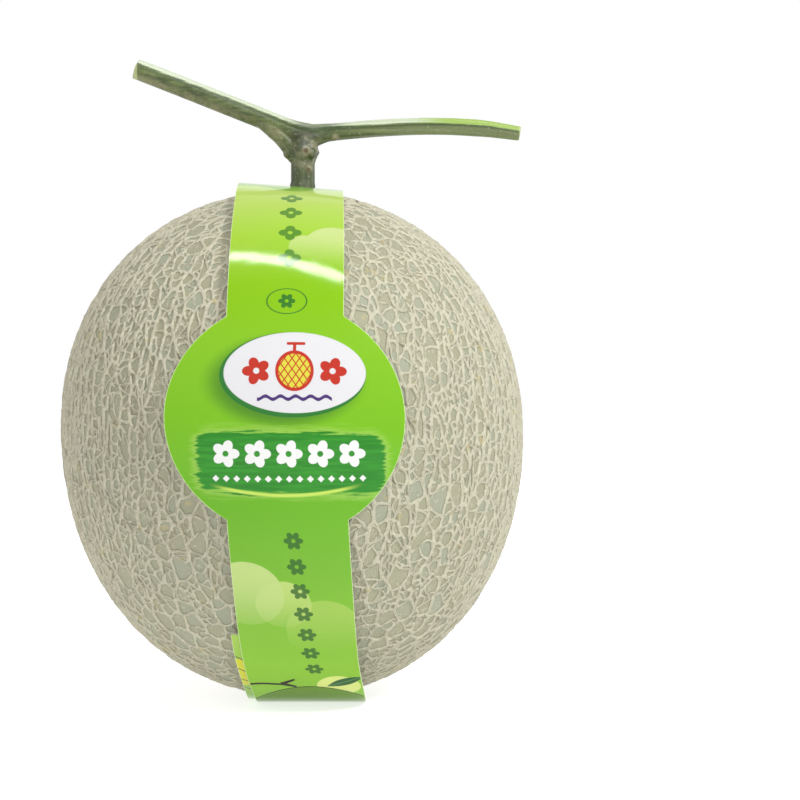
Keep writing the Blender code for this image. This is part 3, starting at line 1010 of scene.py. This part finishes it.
class Print(Finish):
    """Printed card. Shapes are drawn in millimetres from the badge's middle: u to the right, v down."""

    def __init__(self, name):
        super().__init__(name)
        place = self.add("ShaderNodeUVMap", uv_map="print").outputs[0]
        axes = self.add("ShaderNodeSeparateXYZ", [(0, place)]).outputs
        self.place, self.u, self.v = place, Amount(self, axes[0]), Amount(self, axes[1])
        self.ink = None

    def inside(self, distance, soft=0.10):
        """1 where a distance to an outline is negative."""
        return Amount(self, self.ramp(distance, soft, -soft))

    def lay(self, mask, colour):
        """Prints a colour over what is there."""
        self.ink = self.mix(mask, self.ink, colour)

    def off_oval(self, u, v, across, down=None):
        """How far outside an oval with the given half sizes a place is."""
        down = down or across
        far = ((u / across).sum("POWER", 2) + (v / down).sum("POWER", 2)).sum("SQRT")
        return (far - 1.0) * min(across, down)

    def off_oblong(self, u, v, across, down, corner):
        """How far outside an oblong with round corners a place is."""
        right = (abs(u) - (across - corner)).sum("MAXIMUM", 0.0)
        below = (abs(v) - (down - corner)).sum("MAXIMUM", 0.0)
        return (right * right + below * below).sum("SQRT") - corner

    def off_flower(self, u, v, radius, petals):
        """How far outside a round flower with an open middle a place is."""
        far = (u * u + v * v).sum("SQRT")
        turn = v.sum("ARCTAN2", u) * (petals / 2)
        rim = abs(turn.sum("COSINE")) * (0.40 * radius) + 0.62 * radius
        return (far - rim).sum("MAXIMUM", far * -1.0 + 0.22 * radius)

    def off_leaf(self, u, v, length, width, lean):
        """How far outside a pointed leaf a place is, and how far off its middle vein."""
        along = u * math.cos(lean) + v * math.sin(lean)
        aside = abs(v * math.cos(lean) - u * math.sin(lean))
        return aside - (along / length).sum("POWER", 2) * -width - width, aside


PRINT_GROUND = (  # millimetres down from the badge's middle, colour
    (-120, (0.30, 0.50, 0.084)),
    (-97, (0.40, 0.540, 0.125)),
    (-80, (0.39, 0.530, 0.105)),
    (-60, (0.285, 0.470, 0.042)),
    (-40, (0.190, 0.395, 0.010)),
    (0, (0.143, 0.370, 0.006)),
    (24, (0.108, 0.330, 0.006)),
    (45, (0.140, 0.350, 0.020)),
    (80, (0.205, 0.420, 0.026)),
    (160, (0.200, 0.390, 0.026)),
    (200, (0.290, 0.450, 0.070)),
)


# The print's inks
CLOUD = (0.44, 0.53, 0.200)
CROWN_GREEN = (0.20, 0.40, 0.045)
HILLS = (  # middle's u and v, radius, where it fades and where it is full, strength, colour
    (8.0, 65.0, 11.0, 76.0, 56.0, 0.55, (0.34, 0.47, 0.100)),
    (-3.0, 55.5, 8.0, 70.0, 48.0, 1.0, (0.37, 0.49, 0.130)),
    (-13.2, 52.2, 10.6, 72.0, 44.0, 1.0, (0.39, 0.50, 0.165)),
)
DARK_FLOWER = (0.036, 0.150, 0.020)
LOW_FLOWER = (0.024, 0.105, 0.012)
OVAL_SHADE = (0.040, 0.150, 0.010)
OVAL_SIDE = (0.018, 0.135, 0.020)
OVAL_WHITE = (0.545, 0.535, 0.545)
RED = (0.380, 0.022, 0.010)
YELLOW_FRUIT = (0.52, 0.48, 0.040)
WAVE_VIOLET = (0.050, 0.022, 0.120)
BRUSH_RIM = (0.300, 0.470, 0.090)
BRUSH_DARK, BRUSH_LIGHT = (0.012, 0.160, 0.008), (0.026, 0.235, 0.014)
SWASH = (0.42, 0.56, 0.085)
WHITE = (0.62, 0.62, 0.60)
PALE_HILL = (0.56, 0.62, 0.180)
TWIG_BARK = (0.022, 0.016, 0.004)
TWIG_FORK = ((-0.70, 0.62), (0.50, 0.70))  # slope and half width of each end
LEAF, LEAF_VEIN = (0.016, 0.090, 0.022), (0.100, 0.210, 0.055)
MOUND, MOUND_LINE = (0.100, 0.205, 0.008), (0.016, 0.045, 0.004)
TAIL_YELLOW, TAIL_STROKE = (0.50, 0.49, 0.014), (0.060, 0.075, 0.020)
WORN_RIM = (0.56, 0.66, 0.36)


def print_ground(card, down):
    """The green ground with pale clouds high up and pale hills low down."""
    stops = card.add("ShaderNodeValToRGB", [(0, card.ramp(down, -120.0, 200.0, smooth=False))])
    for extra in range(len(PRINT_GROUND) - 2):
        stops.color_ramp.elements.new(0.5)
    for stop, (place, colour) in zip(stops.color_ramp.elements, PRINT_GROUND):
        stop.position = (place + 120) / 320
        stop.color = (*colour, 1.0)
    card.ink = stops.outputs[0]
    cloud = card.inside(card.off_oval(card.u - 14.0, down + 54.0, 9.0))
    cloud = cloud.sum("MAXIMUM", card.inside(card.off_oval(card.u - 5.2, down + 53.6, 4.7)))
    card.lay(cloud * card.ramp(down, -44.0, -62.0), CLOUD)
    for hill_u, hill_v, radius, faded, full, strength, colour in HILLS:
        hill = card.inside(card.off_oval(card.u - hill_u, down - hill_v, radius))
        card.lay(hill * card.ramp(down, faded, full, 0.0, strength), colour)
    crown = down + 97.0 - card.ramp(abs(card.u - 1.0), 14.0, 0.0, 0.0, 8.0)
    card.lay(card.inside(crown), CROWN_GREEN)


def print_flowers(card, down):
    """Small dark flowers in two columns, one more in an oval frame."""
    u, v = card.u, card.v
    flowers = card.inside(card.off_flower(u - 0.8, (down + 86.0).over(10.6), 3.3, 4))
    card.lay(flowers * card.inside(abs(down + 64.8) - 21.1) * 0.80, DARK_FLOWER)
    ring = abs(card.off_oval(u - 0.4, down + 33.8, 5.6, 4.0)) - 0.15
    card.lay(card.inside(ring), DARK_FLOWER)
    card.lay(card.inside(card.off_flower(u - 0.4, down + 33.8, 2.4, 6)), DARK_FLOWER)
    flowers = card.inside(card.off_flower(u - 1.0 - (v - 30.0) * 0.05, (v - 31.0).over(7.9), 2.7, 6))
    card.lay(flowers * card.inside(abs(v - 58.6) - 27.6) * 0.90, LOW_FLOWER)


def print_oval(card, front):
    """The white oval with its shadow, a netted fruit between two flowers and a wavy line."""
    u, v = card.u, card.v
    shade = card.inside(card.off_oval(u + 0.2, v + 10.2, 20.6, 12.4), 2.4)
    card.lay(shade * front * 0.80, OVAL_SHADE)
    card.lay(card.inside(card.off_oval(u - 2.3, v + 12.0, 20.4, 12.1)) * front, OVAL_SIDE)
    card.lay(card.inside(card.off_oval(u - 2.9, v + 12.6, 19.8, 11.5)) * front, OVAL_WHITE)
    fruit = card.off_oval(u - 2.8, v + 13.0, 4.9, 5.3)
    card.lay(card.inside(fruit), YELLOW_FRUIT)
    lattice = abs((u + v * 0.7).over(2.1)).sum("MINIMUM", abs((u - v * 0.7).over(2.1))) - 0.20
    card.lay(card.inside(lattice) * card.inside(fruit), RED)
    card.lay(card.inside(abs(fruit) - 0.45), RED)
    card.lay(card.inside(card.off_oblong(u - 2.8, v + 19.6, 0.45, 1.3, 0.2)), RED)
    card.lay(card.inside(card.off_oblong(u - 3.2, v + 20.8, 2.6, 0.42, 0.4)), RED)
    card.lay(card.inside(card.off_flower(abs(u - 2.8) - 10.6, v + 13.0, 3.9, 5)) * front, RED)
    wave = abs(v + 5.4 - (u * 1.5).sum("SINE") * 0.45) - 0.50
    card.lay(card.inside(wave) * card.inside(abs(u - 2.8) - 10.4) * front, WAVE_VIOLET)


def print_brush_stroke(card, front):
    """The brush stroke with a row of white flowers, a row of small lozenges and a swash."""
    u, v = card.u, card.v
    streaks = Amount(card, card.noise(card.stretched(card.place, (0.07, 0.9, 1.0)), 1.0, 4, 0.65))
    brush = card.off_oblong(u - 1.5, v - 12.8 - u * 0.02, 26.2, 8.6, 4.5) + (streaks - 0.5) * 7.0
    card.lay(card.inside(brush - 1.2, 1.4) * 0.55, BRUSH_RIM)
    paint = card.mix(card.ramp(streaks, 0.35, 0.70), BRUSH_DARK, BRUSH_LIGHT)
    card.lay(card.inside(brush, 0.5), paint)
    swash = abs(v - 21.8 + u * u * 0.006) - 0.45
    card.lay(card.inside(swash, 0.3) * card.ramp(abs(u), 22.0, 14.0), SWASH)
    row = card.inside(abs(u - 1.0) - 21.8) * front
    card.lay(card.inside(card.off_flower((u + 20.9).over(8.75), v - 10.2, 3.8, 5)) * row, WHITE)
    lozenge = abs((u + 20.9).over(2.92)) + abs(v - 17.2) - 0.95
    card.lay(card.inside(lozenge) * row, WHITE)


def print_fold_picture(card):
    """Near the fold: a forked twig, a leaf before a small pale hill, and a mound."""
    u, v = card.u, card.v
    card.lay(card.inside(card.off_oval(u - 9.8, v - 93.2, 6.6)), PALE_HILL)
    twig = abs(v - 91.3 + u * 0.03 - (u * 0.6).sum("SINE") * 0.25) - 0.62
    card.lay(card.inside(twig) * card.inside(u + 6.4, 0.6), TWIG_BARK)
    for slope, width in TWIG_FORK:
        fork = abs(v - 91.5 - (u + 7.2) * slope) - (u * -1.0 - 3.0) * 0.10 - width
        card.lay(card.inside(fork) * card.inside(abs(u + 5.2) - 2.2, 0.4), TWIG_BARK)
    off_leaf, off_vein = card.off_leaf(u - 11.8, v - 90.4, 6.4, 2.1, -0.50)
    card.lay(card.inside(off_leaf), LEAF)
    card.lay(card.inside(off_leaf) * card.inside(off_vein - 0.18), LEAF_VEIN)
    mound = (u - 1.0) * (u - 1.0) * 0.034 + 93.6 - v
    low = card.inside(v * -1.0 + 60.0)
    card.lay(card.inside(mound) * low, MOUND)
    card.lay(card.inside(abs(mound) - 0.26) * low, MOUND_LINE)


def print_tail(card, down):
    """The yellow patch with dark strokes on the tail."""
    card.lay(card.inside(abs(down - 180.0) - 8.0), TAIL_YELLOW)
    strokes = abs((down + (card.u * 0.8).sum("SINE") * 1.2).over(6.4)) - 0.28
    card.lay(card.inside(strokes) * card.inside(abs(down - 179.0) - 11.0), TAIL_STROKE)


def print_finish():
    """Glossy laminated print: a green ground, pale hills, a white oval, a brush stroke and flowers."""
    card = Print("printed_face")
    down = abs(card.v + 120.0) - 120.0  # the back of the loop repeats the front's ground
    front = card.inside(card.v * -1.0 - 119.0)
    print_ground(card, down)
    print_flowers(card, down)
    print_oval(card, front)
    print_brush_stroke(card, front)
    print_fold_picture(card)
    print_tail(card, down)
    rim_noise = Amount(card, card.noise(card.place, 1.3, 2, 0.6))
    worn = Amount(card, card.attribute("to_edge")) + (rim_noise - 0.5) * 0.2
    card.lay(card.inside(worn - 0.12), WORN_RIM)

    speck = card.noise(card.place, 3.2, 3, 0.7)
    faded = card.ramp(speck, 0.35, 0.75, 0.97, 1.05)
    card.put(card.shader.inputs["Base Color"], card.mix(1.0, card.ink, faded, "MULTIPLY"))
    card.put(card.shader.inputs["Specular IOR Level"], card.ramp(card.v, 66.0, 92.0, 0.28, 0.08))
    card.put(card.shader.inputs["Roughness"], card.ramp(speck, 0.25, 0.80, 0.07, 0.13))
    peel = card.bump(card.noise(card.place, 2.4, 2, 0.6), 0.0055 * MM, 1.0)
    dents = card.bump(card.noise(card.place, 0.09, 2, 0.5), 0.25 * MM, 0.5, peel)
    card.put(card.shader.inputs["Normal"], dents)
    return card.material


def back_finish():
    """The card's plain white inside."""
    back = Finish("card_back")
    back.put(back.shader.inputs["Base Color"], (0.80, 0.80, 0.77))
    back.put(back.shader.inputs["Roughness"], 0.7)
    return back.material


def edge_finish():
    """The card's cut edge, pale with a little of the print's green."""
    edge = Finish("card_edge")
    edge.put(edge.shader.inputs["Base Color"], (0.62, 0.72, 0.42))
    edge.put(edge.shader.inputs["Roughness"], 0.8)
    return edge.material


# The stem


def through(points, steps):
    """A smooth curve through the points (Catmull-Rom), with some steps between each two."""
    points = [np.array(point, float) for point in points]
    ends = [2 * points[0] - points[1], *points, 2 * points[-1] - points[-2]]
    curve = []
    for before, start, end, after in zip(ends, ends[1:], ends[2:], ends[3:]):
        for step in range(steps):
            t = step / steps
            curve.append(
                0.5 * (2 * start + (end - before) * t
                       + (2 * before - 5 * start + 4 * end - after) * t * t
                       + (3 * start - before - 3 * end + after) * t * t * t)
            )
    curve.append(points[-1])
    return np.array(curve)


def grow(name, curve, radii, ribs, depth, twist, seed):
    """A closed rod along a curve near the plane y = 0, with ribs that wander a little."""
    chance = random.Random(seed)
    phase = [chance.uniform(0, 2 * math.pi) for _ in range(4)]
    bm = bmesh.new()
    rings = []
    for index, (place, radius) in enumerate(zip(curve, radii)):
        ahead = curve[min(index + 1, len(curve) - 1)] - curve[max(index - 1, 0)]
        ahead /= np.linalg.norm(ahead)
        side = np.array((0.0, 1.0, 0.0))
        up = np.cross(side, ahead)
        up /= np.linalg.norm(up)
        side = np.cross(ahead, up)
        travel = index / len(curve)
        ring = []
        for corner in range(STEM_SIDES):
            turn = 2 * math.pi * corner / STEM_SIDES
            ribbed = abs(math.cos(0.5 * ribs * (turn + twist * travel) + phase[0])) ** 0.7 * 2 - 1.5
            fine = math.cos((3 * ribs + 1) * (turn - 0.4 * twist * travel) + phase[1])
            reach = radius * (1 + depth * ribbed + 0.22 * depth * fine)
            ring.append(bm.verts.new(place + reach * (math.cos(turn) * side + math.sin(turn) * up)))
        rings.append(ring)
    for first, second in zip(rings, rings[1:]):
        for corner in range(STEM_SIDES):
            after = (corner + 1) % STEM_SIDES
            bm.faces.new((first[corner], first[after], second[after], second[corner]))
    bm.faces.new(rings[0])
    bm.faces.new(rings[-1])
    bmesh.ops.recalc_face_normals(bm, faces=bm.faces)
    mesh = bpy.data.meshes.new(name)
    bm.to_mesh(mesh)
    bm.free()
    rod = bpy.data.objects.new(name, mesh)
    bpy.context.scene.collection.objects.link(rod)
    return rod


def vine_radius(x):
    """The vine's radius along its length, with a swelling where the stalk leaves it."""
    plain = np.interp(x, *zip(*VINE_RADII))
    return float(plain) + NODE_SWELLING * math.exp(-(((x - VINE_GUIDE[3][0]) / NODE_REACH) ** 2))


def build_stem():
    """The stalk and the vine, grown together at a swollen, scarred node."""
    vine_curve = through(VINE_GUIDE, 16)
    vine = grow("green_stem", vine_curve, [vine_radius(place[0]) for place in vine_curve], 5, 0.085, 1.5, 3)
    stalk_curve = through([(x, 0, z) for x, z, _ in STALK_GUIDE], 10)
    heights = [z for _, z, _ in STALK_GUIDE]
    widths = [radius for _, _, radius in STALK_GUIDE]
    radii = [float(np.interp(place[2], heights, widths)) for place in stalk_curve]
    parts = [vine, grow("stalk_part", stalk_curve, radii, 6, 0.06, 0.4, 8)]
    web_curve = through([(x, 0, z) for x, z, _ in WEB], 6)
    web_radii = np.interp(web_curve[:, 0], [x for x, _, _ in WEB], [radius for _, _, radius in WEB])
    parts.append(grow("web_part", web_curve, web_radii, 5, 0.05, 0.2, 5))
    for x, y, z, radius in SCARS:
        clear_selection()
        bpy.ops.mesh.primitive_ico_sphere_add(subdivisions=3, radius=radius, location=(x, y, z))
        parts.append(bpy.context.object)
    clear_selection()
    for part in parts:
        part.select_set(True)
    bpy.context.view_layer.objects.active = vine
    bpy.ops.object.join()
    grown = vine.modifiers.new("grown_together", "REMESH")
    grown.mode = "VOXEL"
    grown.voxel_size = STEM_VOXEL
    bpy.ops.object.modifier_apply(modifier="grown_together")
    even = vine.modifiers.new("even", "SMOOTH")
    even.factor = 0.5
    even.iterations = 2
    bpy.ops.object.modifier_apply(modifier="even")
    bpy.ops.object.transform_apply(location=True, rotation=True, scale=True)
    vine.data.shade_smooth()
    place = np.empty(3 * len(vine.data.vertices))
    vine.data.vertices.foreach_get("co", place)
    place = place.reshape(-1, 3)
    near = np.array([int(np.argmin(((vine_curve - here) ** 2).sum(1))) for here in place])
    along = np.gradient(vine_curve, axis=0)[near]
    above = np.column_stack((-along[:, 2], np.zeros(len(near)), along[:, 0]))
    above /= np.linalg.norm(above, axis=1)[:, None]
    rise = np.einsum("ij,ij->i", place - vine_curve[near], above)
    rise /= np.array([vine_radius(x) for x in vine_curve[:, 0]])[near]
    vine.data.attributes.new("rise", "FLOAT", "POINT").data.foreach_set("value", rise.astype(np.float32))
    finish_piece(vine, "stem", vine_finish())


VINE_DARK, VINE_GREEN, VINE_BLOTCH = (0.036, 0.056, 0.010), (0.105, 0.135, 0.036), (0.165, 0.170, 0.085)
# the last colour below is painted shade for the crotch where the arms meet the stalk
VINE_TIP, VINE_STALK, CROTCH_SHADE = (0.170, 0.240, 0.050), (0.048, 0.058, 0.022), (0.026, 0.032, 0.014)
# the last colour below is painted shade for the groove along the arms
VINE_RUST, VINE_DUST, VINE_GROOVE_SHADE = (0.215, 0.205, 0.100), (0.205, 0.240, 0.105), (0.026, 0.052, 0.008)
# the first colour below is a painted highlight for the arms' tops
VINE_TOP_HIGHLIGHT, VINE_FRESH, VINE_BARK = (0.500, 0.560, 0.410), (0.230, 0.350, 0.040), (0.200, 0.190, 0.110)
SCAR_RIM, SCAR_PIT = (0.260, 0.230, 0.130), (0.080, 0.045, 0.022)
VINE_FLECK, VINE_CUT = (0.400, 0.410, 0.300), (0.380, 0.430, 0.190)
CROTCH_PLACE, NODE_PLACE = (0.0036, -0.0040, 0.1808), (0.0045, -0.0040, 0.1755)
SCAR_MARKS = (
    (-0.0024, -0.0010, 0.1757),
    (0.0046, -0.0046, 0.1762),
    (0.0056, -0.0042, 0.1707),
    (0.0142, -0.0018, 0.1808),
)


def vine_finish():
    """Streaky olive-green vine with a painted highlight along the arms' tops, painted shade in their groove
    and crotch, brown scars and light flecks.
    """
    skin = Finish("green_stem")
    place = skin.add("ShaderNodeTexCoord").outputs["Object"]
    x, _, z = (Amount(skin, axis) for axis in skin.add("ShaderNodeSeparateXYZ", [(0, place)]).outputs)
    upward = Amount(skin, skin.attribute("rise"))
    on_stalk = Amount(skin, skin.ramp(z, 0.1800, 0.1765))
    on_arm = on_stalk * -1.0 + 1.0
    grain = skin.noise(skin.stretched(place, (60.0, 900.0, 900.0)), 1.0, 4, 0.65, 0.3)
    stalk_grain = skin.noise(skin.stretched(place, (900.0, 900.0, 90.0)), 1.0, 4, 0.65, 0.3)
    grain = skin.mix(on_stalk, grain, stalk_grain)
    blotch = Amount(skin, skin.noise(place, 260, 4, 0.65))
    fine = skin.noise(place, 2600, 2, 0.6)

    colour = skin.mix(skin.ramp(grain, 0.36, 0.64), VINE_DARK, VINE_GREEN)
    colour = skin.mix(skin.ramp(blotch, 0.52, 0.68, 0.0, 0.35), colour, VINE_BLOTCH)
    tip = Amount(skin, skin.ramp(x, 0.022, 0.060)) * skin.ramp(upward, -0.3, 0.7)
    colour = skin.mix(tip * 0.55, colour, VINE_TIP)
    colour = skin.mix(on_stalk * 0.70, colour, VINE_STALK)
    rusty = Amount(skin, skin.ramp(upward, -0.30, -0.75)) * skin.ramp(blotch, 0.34, 0.60)
    colour = skin.mix(rusty * skin.ramp(x, 0.03, 0.0) * on_arm * 0.70, colour, VINE_RUST)
    dusty = Amount(skin, skin.ramp(upward, 0.15, -0.35)) * skin.ramp(x, 0.012, 0.040)
    colour = skin.mix(dusty * 0.60, colour, VINE_DUST)
    # painted shade: darker in the crotch where the arms and the stalk meet
    from_crotch = skin.vector("DISTANCE", place, CROTCH_PLACE)["Value"]
    colour = skin.mix(skin.ramp(from_crotch, 0.0066, 0.0020, 0.0, 0.80), colour, CROTCH_SHADE)

    # painted shade: a dark line along the arms' groove, under the painted highlight on their tops
    wavering = upward + (Amount(skin, grain) - 0.5) * 0.35 + skin.ramp(x, 0.012, 0.030, 0.0, 0.20)
    line = Amount(skin, skin.ramp(abs(wavering - 0.24), 0.20, 0.06)) * on_arm
    colour = skin.mix(line * 0.65, colour, VINE_GROOVE_SHADE)
    # painted highlight: a pale stripe along the arms' tops, where the light from above falls
    painted_top_highlight = Amount(skin, skin.ramp(wavering, 0.40, 0.62)) * on_arm
    painted_top_highlight = painted_top_highlight * skin.ramp(abs(x - 0.008), 0.003, 0.012, 0.25, 1.0)
    colour = skin.mix(painted_top_highlight * 0.85, colour, VINE_TOP_HIGHLIGHT)
    fresh = Amount(skin, skin.ramp(x, 0.036, 0.052)) * skin.ramp(wavering, 0.30, 0.50)
    colour = skin.mix(fresh * 0.92, colour, VINE_FRESH)

    # bark, scars, flecks and the cut ends
    from_node = skin.vector("DISTANCE", place, NODE_PLACE)["Value"]
    bark = Amount(skin, skin.ramp(from_node, 0.0085, 0.0030)) * skin.ramp(blotch, 0.42, 0.58)
    colour = skin.mix(bark * 0.70, colour, VINE_BARK)
    for scar in SCAR_MARKS:
        away = Amount(skin, skin.vector("DISTANCE", place, scar)["Value"]) + (blotch - 0.5) * 0.0038
        colour = skin.mix(skin.ramp(away, 0.0019, 0.0010, 0.0, 0.6), colour, SCAR_RIM)
        colour = skin.mix(skin.ramp(away, 0.0009, 0.0004, 0.0, 0.8), colour, SCAR_PIT)
    flecks = skin.ramp(skin.noise(place, 1300, 1, 0.5), 0.70, 0.76, 0.0, 0.5)
    colour = skin.mix(flecks, colour, VINE_FLECK)
    cut = Amount(skin, skin.ramp(x, 0.0734, 0.0739)).sum("MAXIMUM", skin.ramp(x, -0.0505, -0.0511))
    colour = skin.mix(cut * 0.85, colour, VINE_CUT)
    skin.put(skin.shader.inputs["Base Color"], colour)
    skin.put(skin.shader.inputs["Roughness"], skin.ramp(grain, 0.30, 0.70, 0.36, 0.60))
    ridges = skin.bump(grain, 0.22 * MM, 0.7)
    ridges = skin.bump(blotch, 0.16 * MM, 0.5, ridges)
    skin.put(skin.shader.inputs["Normal"], skin.bump(fine, 0.03 * MM, 0.6, ridges))
    return skin.material


# The studio


KEY_LIGHT_PLACE = (1.00, -1.10, 1.30)
STRIP_LIGHT_PLACE = (0.02, -0.335, 1.2)
STRIP_LIGHT_TURN = math.radians(-26)
SKY = (("From Min", 0.55), ("From Max", 0.80), ("To Min", 1.0), ("To Max", 0.22))  # by height
FLOOR_SIZE, FLOOR_HEIGHT = 30, -0.0002
CAMERA_PLACE = (0, -0.5, 0.083)
CAMERA_VIEW = (
    ("sensor_width", 36),
    ("lens", 68.8),
    ("shift_x", 0.1351),
    ("shift_y", 0.0485),
    ("clip_start", 0.01),
    ("clip_end", 100),
)


def floor_finish():
    """A plain white table, a little brighter than its surroundings."""
    table = Finish("pale_floor")
    for name, value in (("Base Color", (0.60, 0.60, 0.60)), ("Roughness", 0.9), ("Specular IOR Level", 0.1),
                        ("Emission Color", (1.0, 1.0, 1.0)), ("Emission Strength", 0.72)):
        table.put(table.shader.inputs[name], value)
    return table.material


def soft_light(name, place, target, width, depth, power, roll=0.0, colour=(1, 1, 1)):
    """A rectangular soft light that points at a target."""
    clear_selection()
    bpy.ops.object.light_add(type="AREA", location=place)
    light = bpy.context.object
    light.name = name
    light.data.shape = "RECTANGLE"
    light.data.size = width
    light.data.size_y = depth
    light.data.energy = power
    light.data.color = colour
    aim = Vector(target) - Vector(place)
    turn = aim.to_track_quat("-Z", "Y")
    light.rotation_euler = turn.to_euler()
    light.rotation_euler.rotate_axis("Z", roll)
    return light


def build_studio():
    """A pale floor, white surroundings under a dimmer ceiling, soft lights and the camera."""
    clear_selection()
    bpy.ops.mesh.primitive_plane_add(size=FLOOR_SIZE, location=(0, 0, FLOOR_HEIGHT))
    floor = bpy.context.object
    floor.name = "floor"
    floor.data.materials.append(floor_finish())

    world = bpy.data.worlds.new("studio")
    bpy.context.scene.world = world
    world.use_nodes = True
    background = world.node_tree.nodes["Background"]
    background.inputs["Color"].default_value = (1.0, 1.0, 1.0, 1.0)
    sky = world.node_tree.nodes
    ways = sky.new("ShaderNodeTexCoord"), sky.new("ShaderNodeSeparateXYZ"), sky.new("ShaderNodeMapRange")
    world.node_tree.links.new(ways[0].outputs["Generated"], ways[1].inputs[0])
    world.node_tree.links.new(ways[1].outputs["Z"], ways[2].inputs["Value"])
    world.node_tree.links.new(ways[2].outputs[0], background.inputs["Strength"])
    for name, value in SKY:
        ways[2].inputs[name].default_value = value

    soft_light("key_light", KEY_LIGHT_PLACE, (0, 0, 0.08), 0.32, 0.32, 21, 0.0, (0.96, 0.98, 1.0))
    below = (*STRIP_LIGHT_PLACE[:2], 0.0)
    soft_light("strip_light", STRIP_LIGHT_PLACE, below, 0.70, 0.09, 6.0, STRIP_LIGHT_TURN)

    bpy.ops.object.camera_add(location=CAMERA_PLACE, rotation=(math.pi / 2, 0, 0))
    camera = bpy.context.object
    for name, value in CAMERA_VIEW:
        setattr(camera.data, name, value)
    bpy.context.scene.camera = camera
    bpy.context.scene.view_settings.view_transform = "Standard"
    bpy.context.scene.view_settings.look = "None"


build_fruit()
build_band()
build_stem()
build_studio()
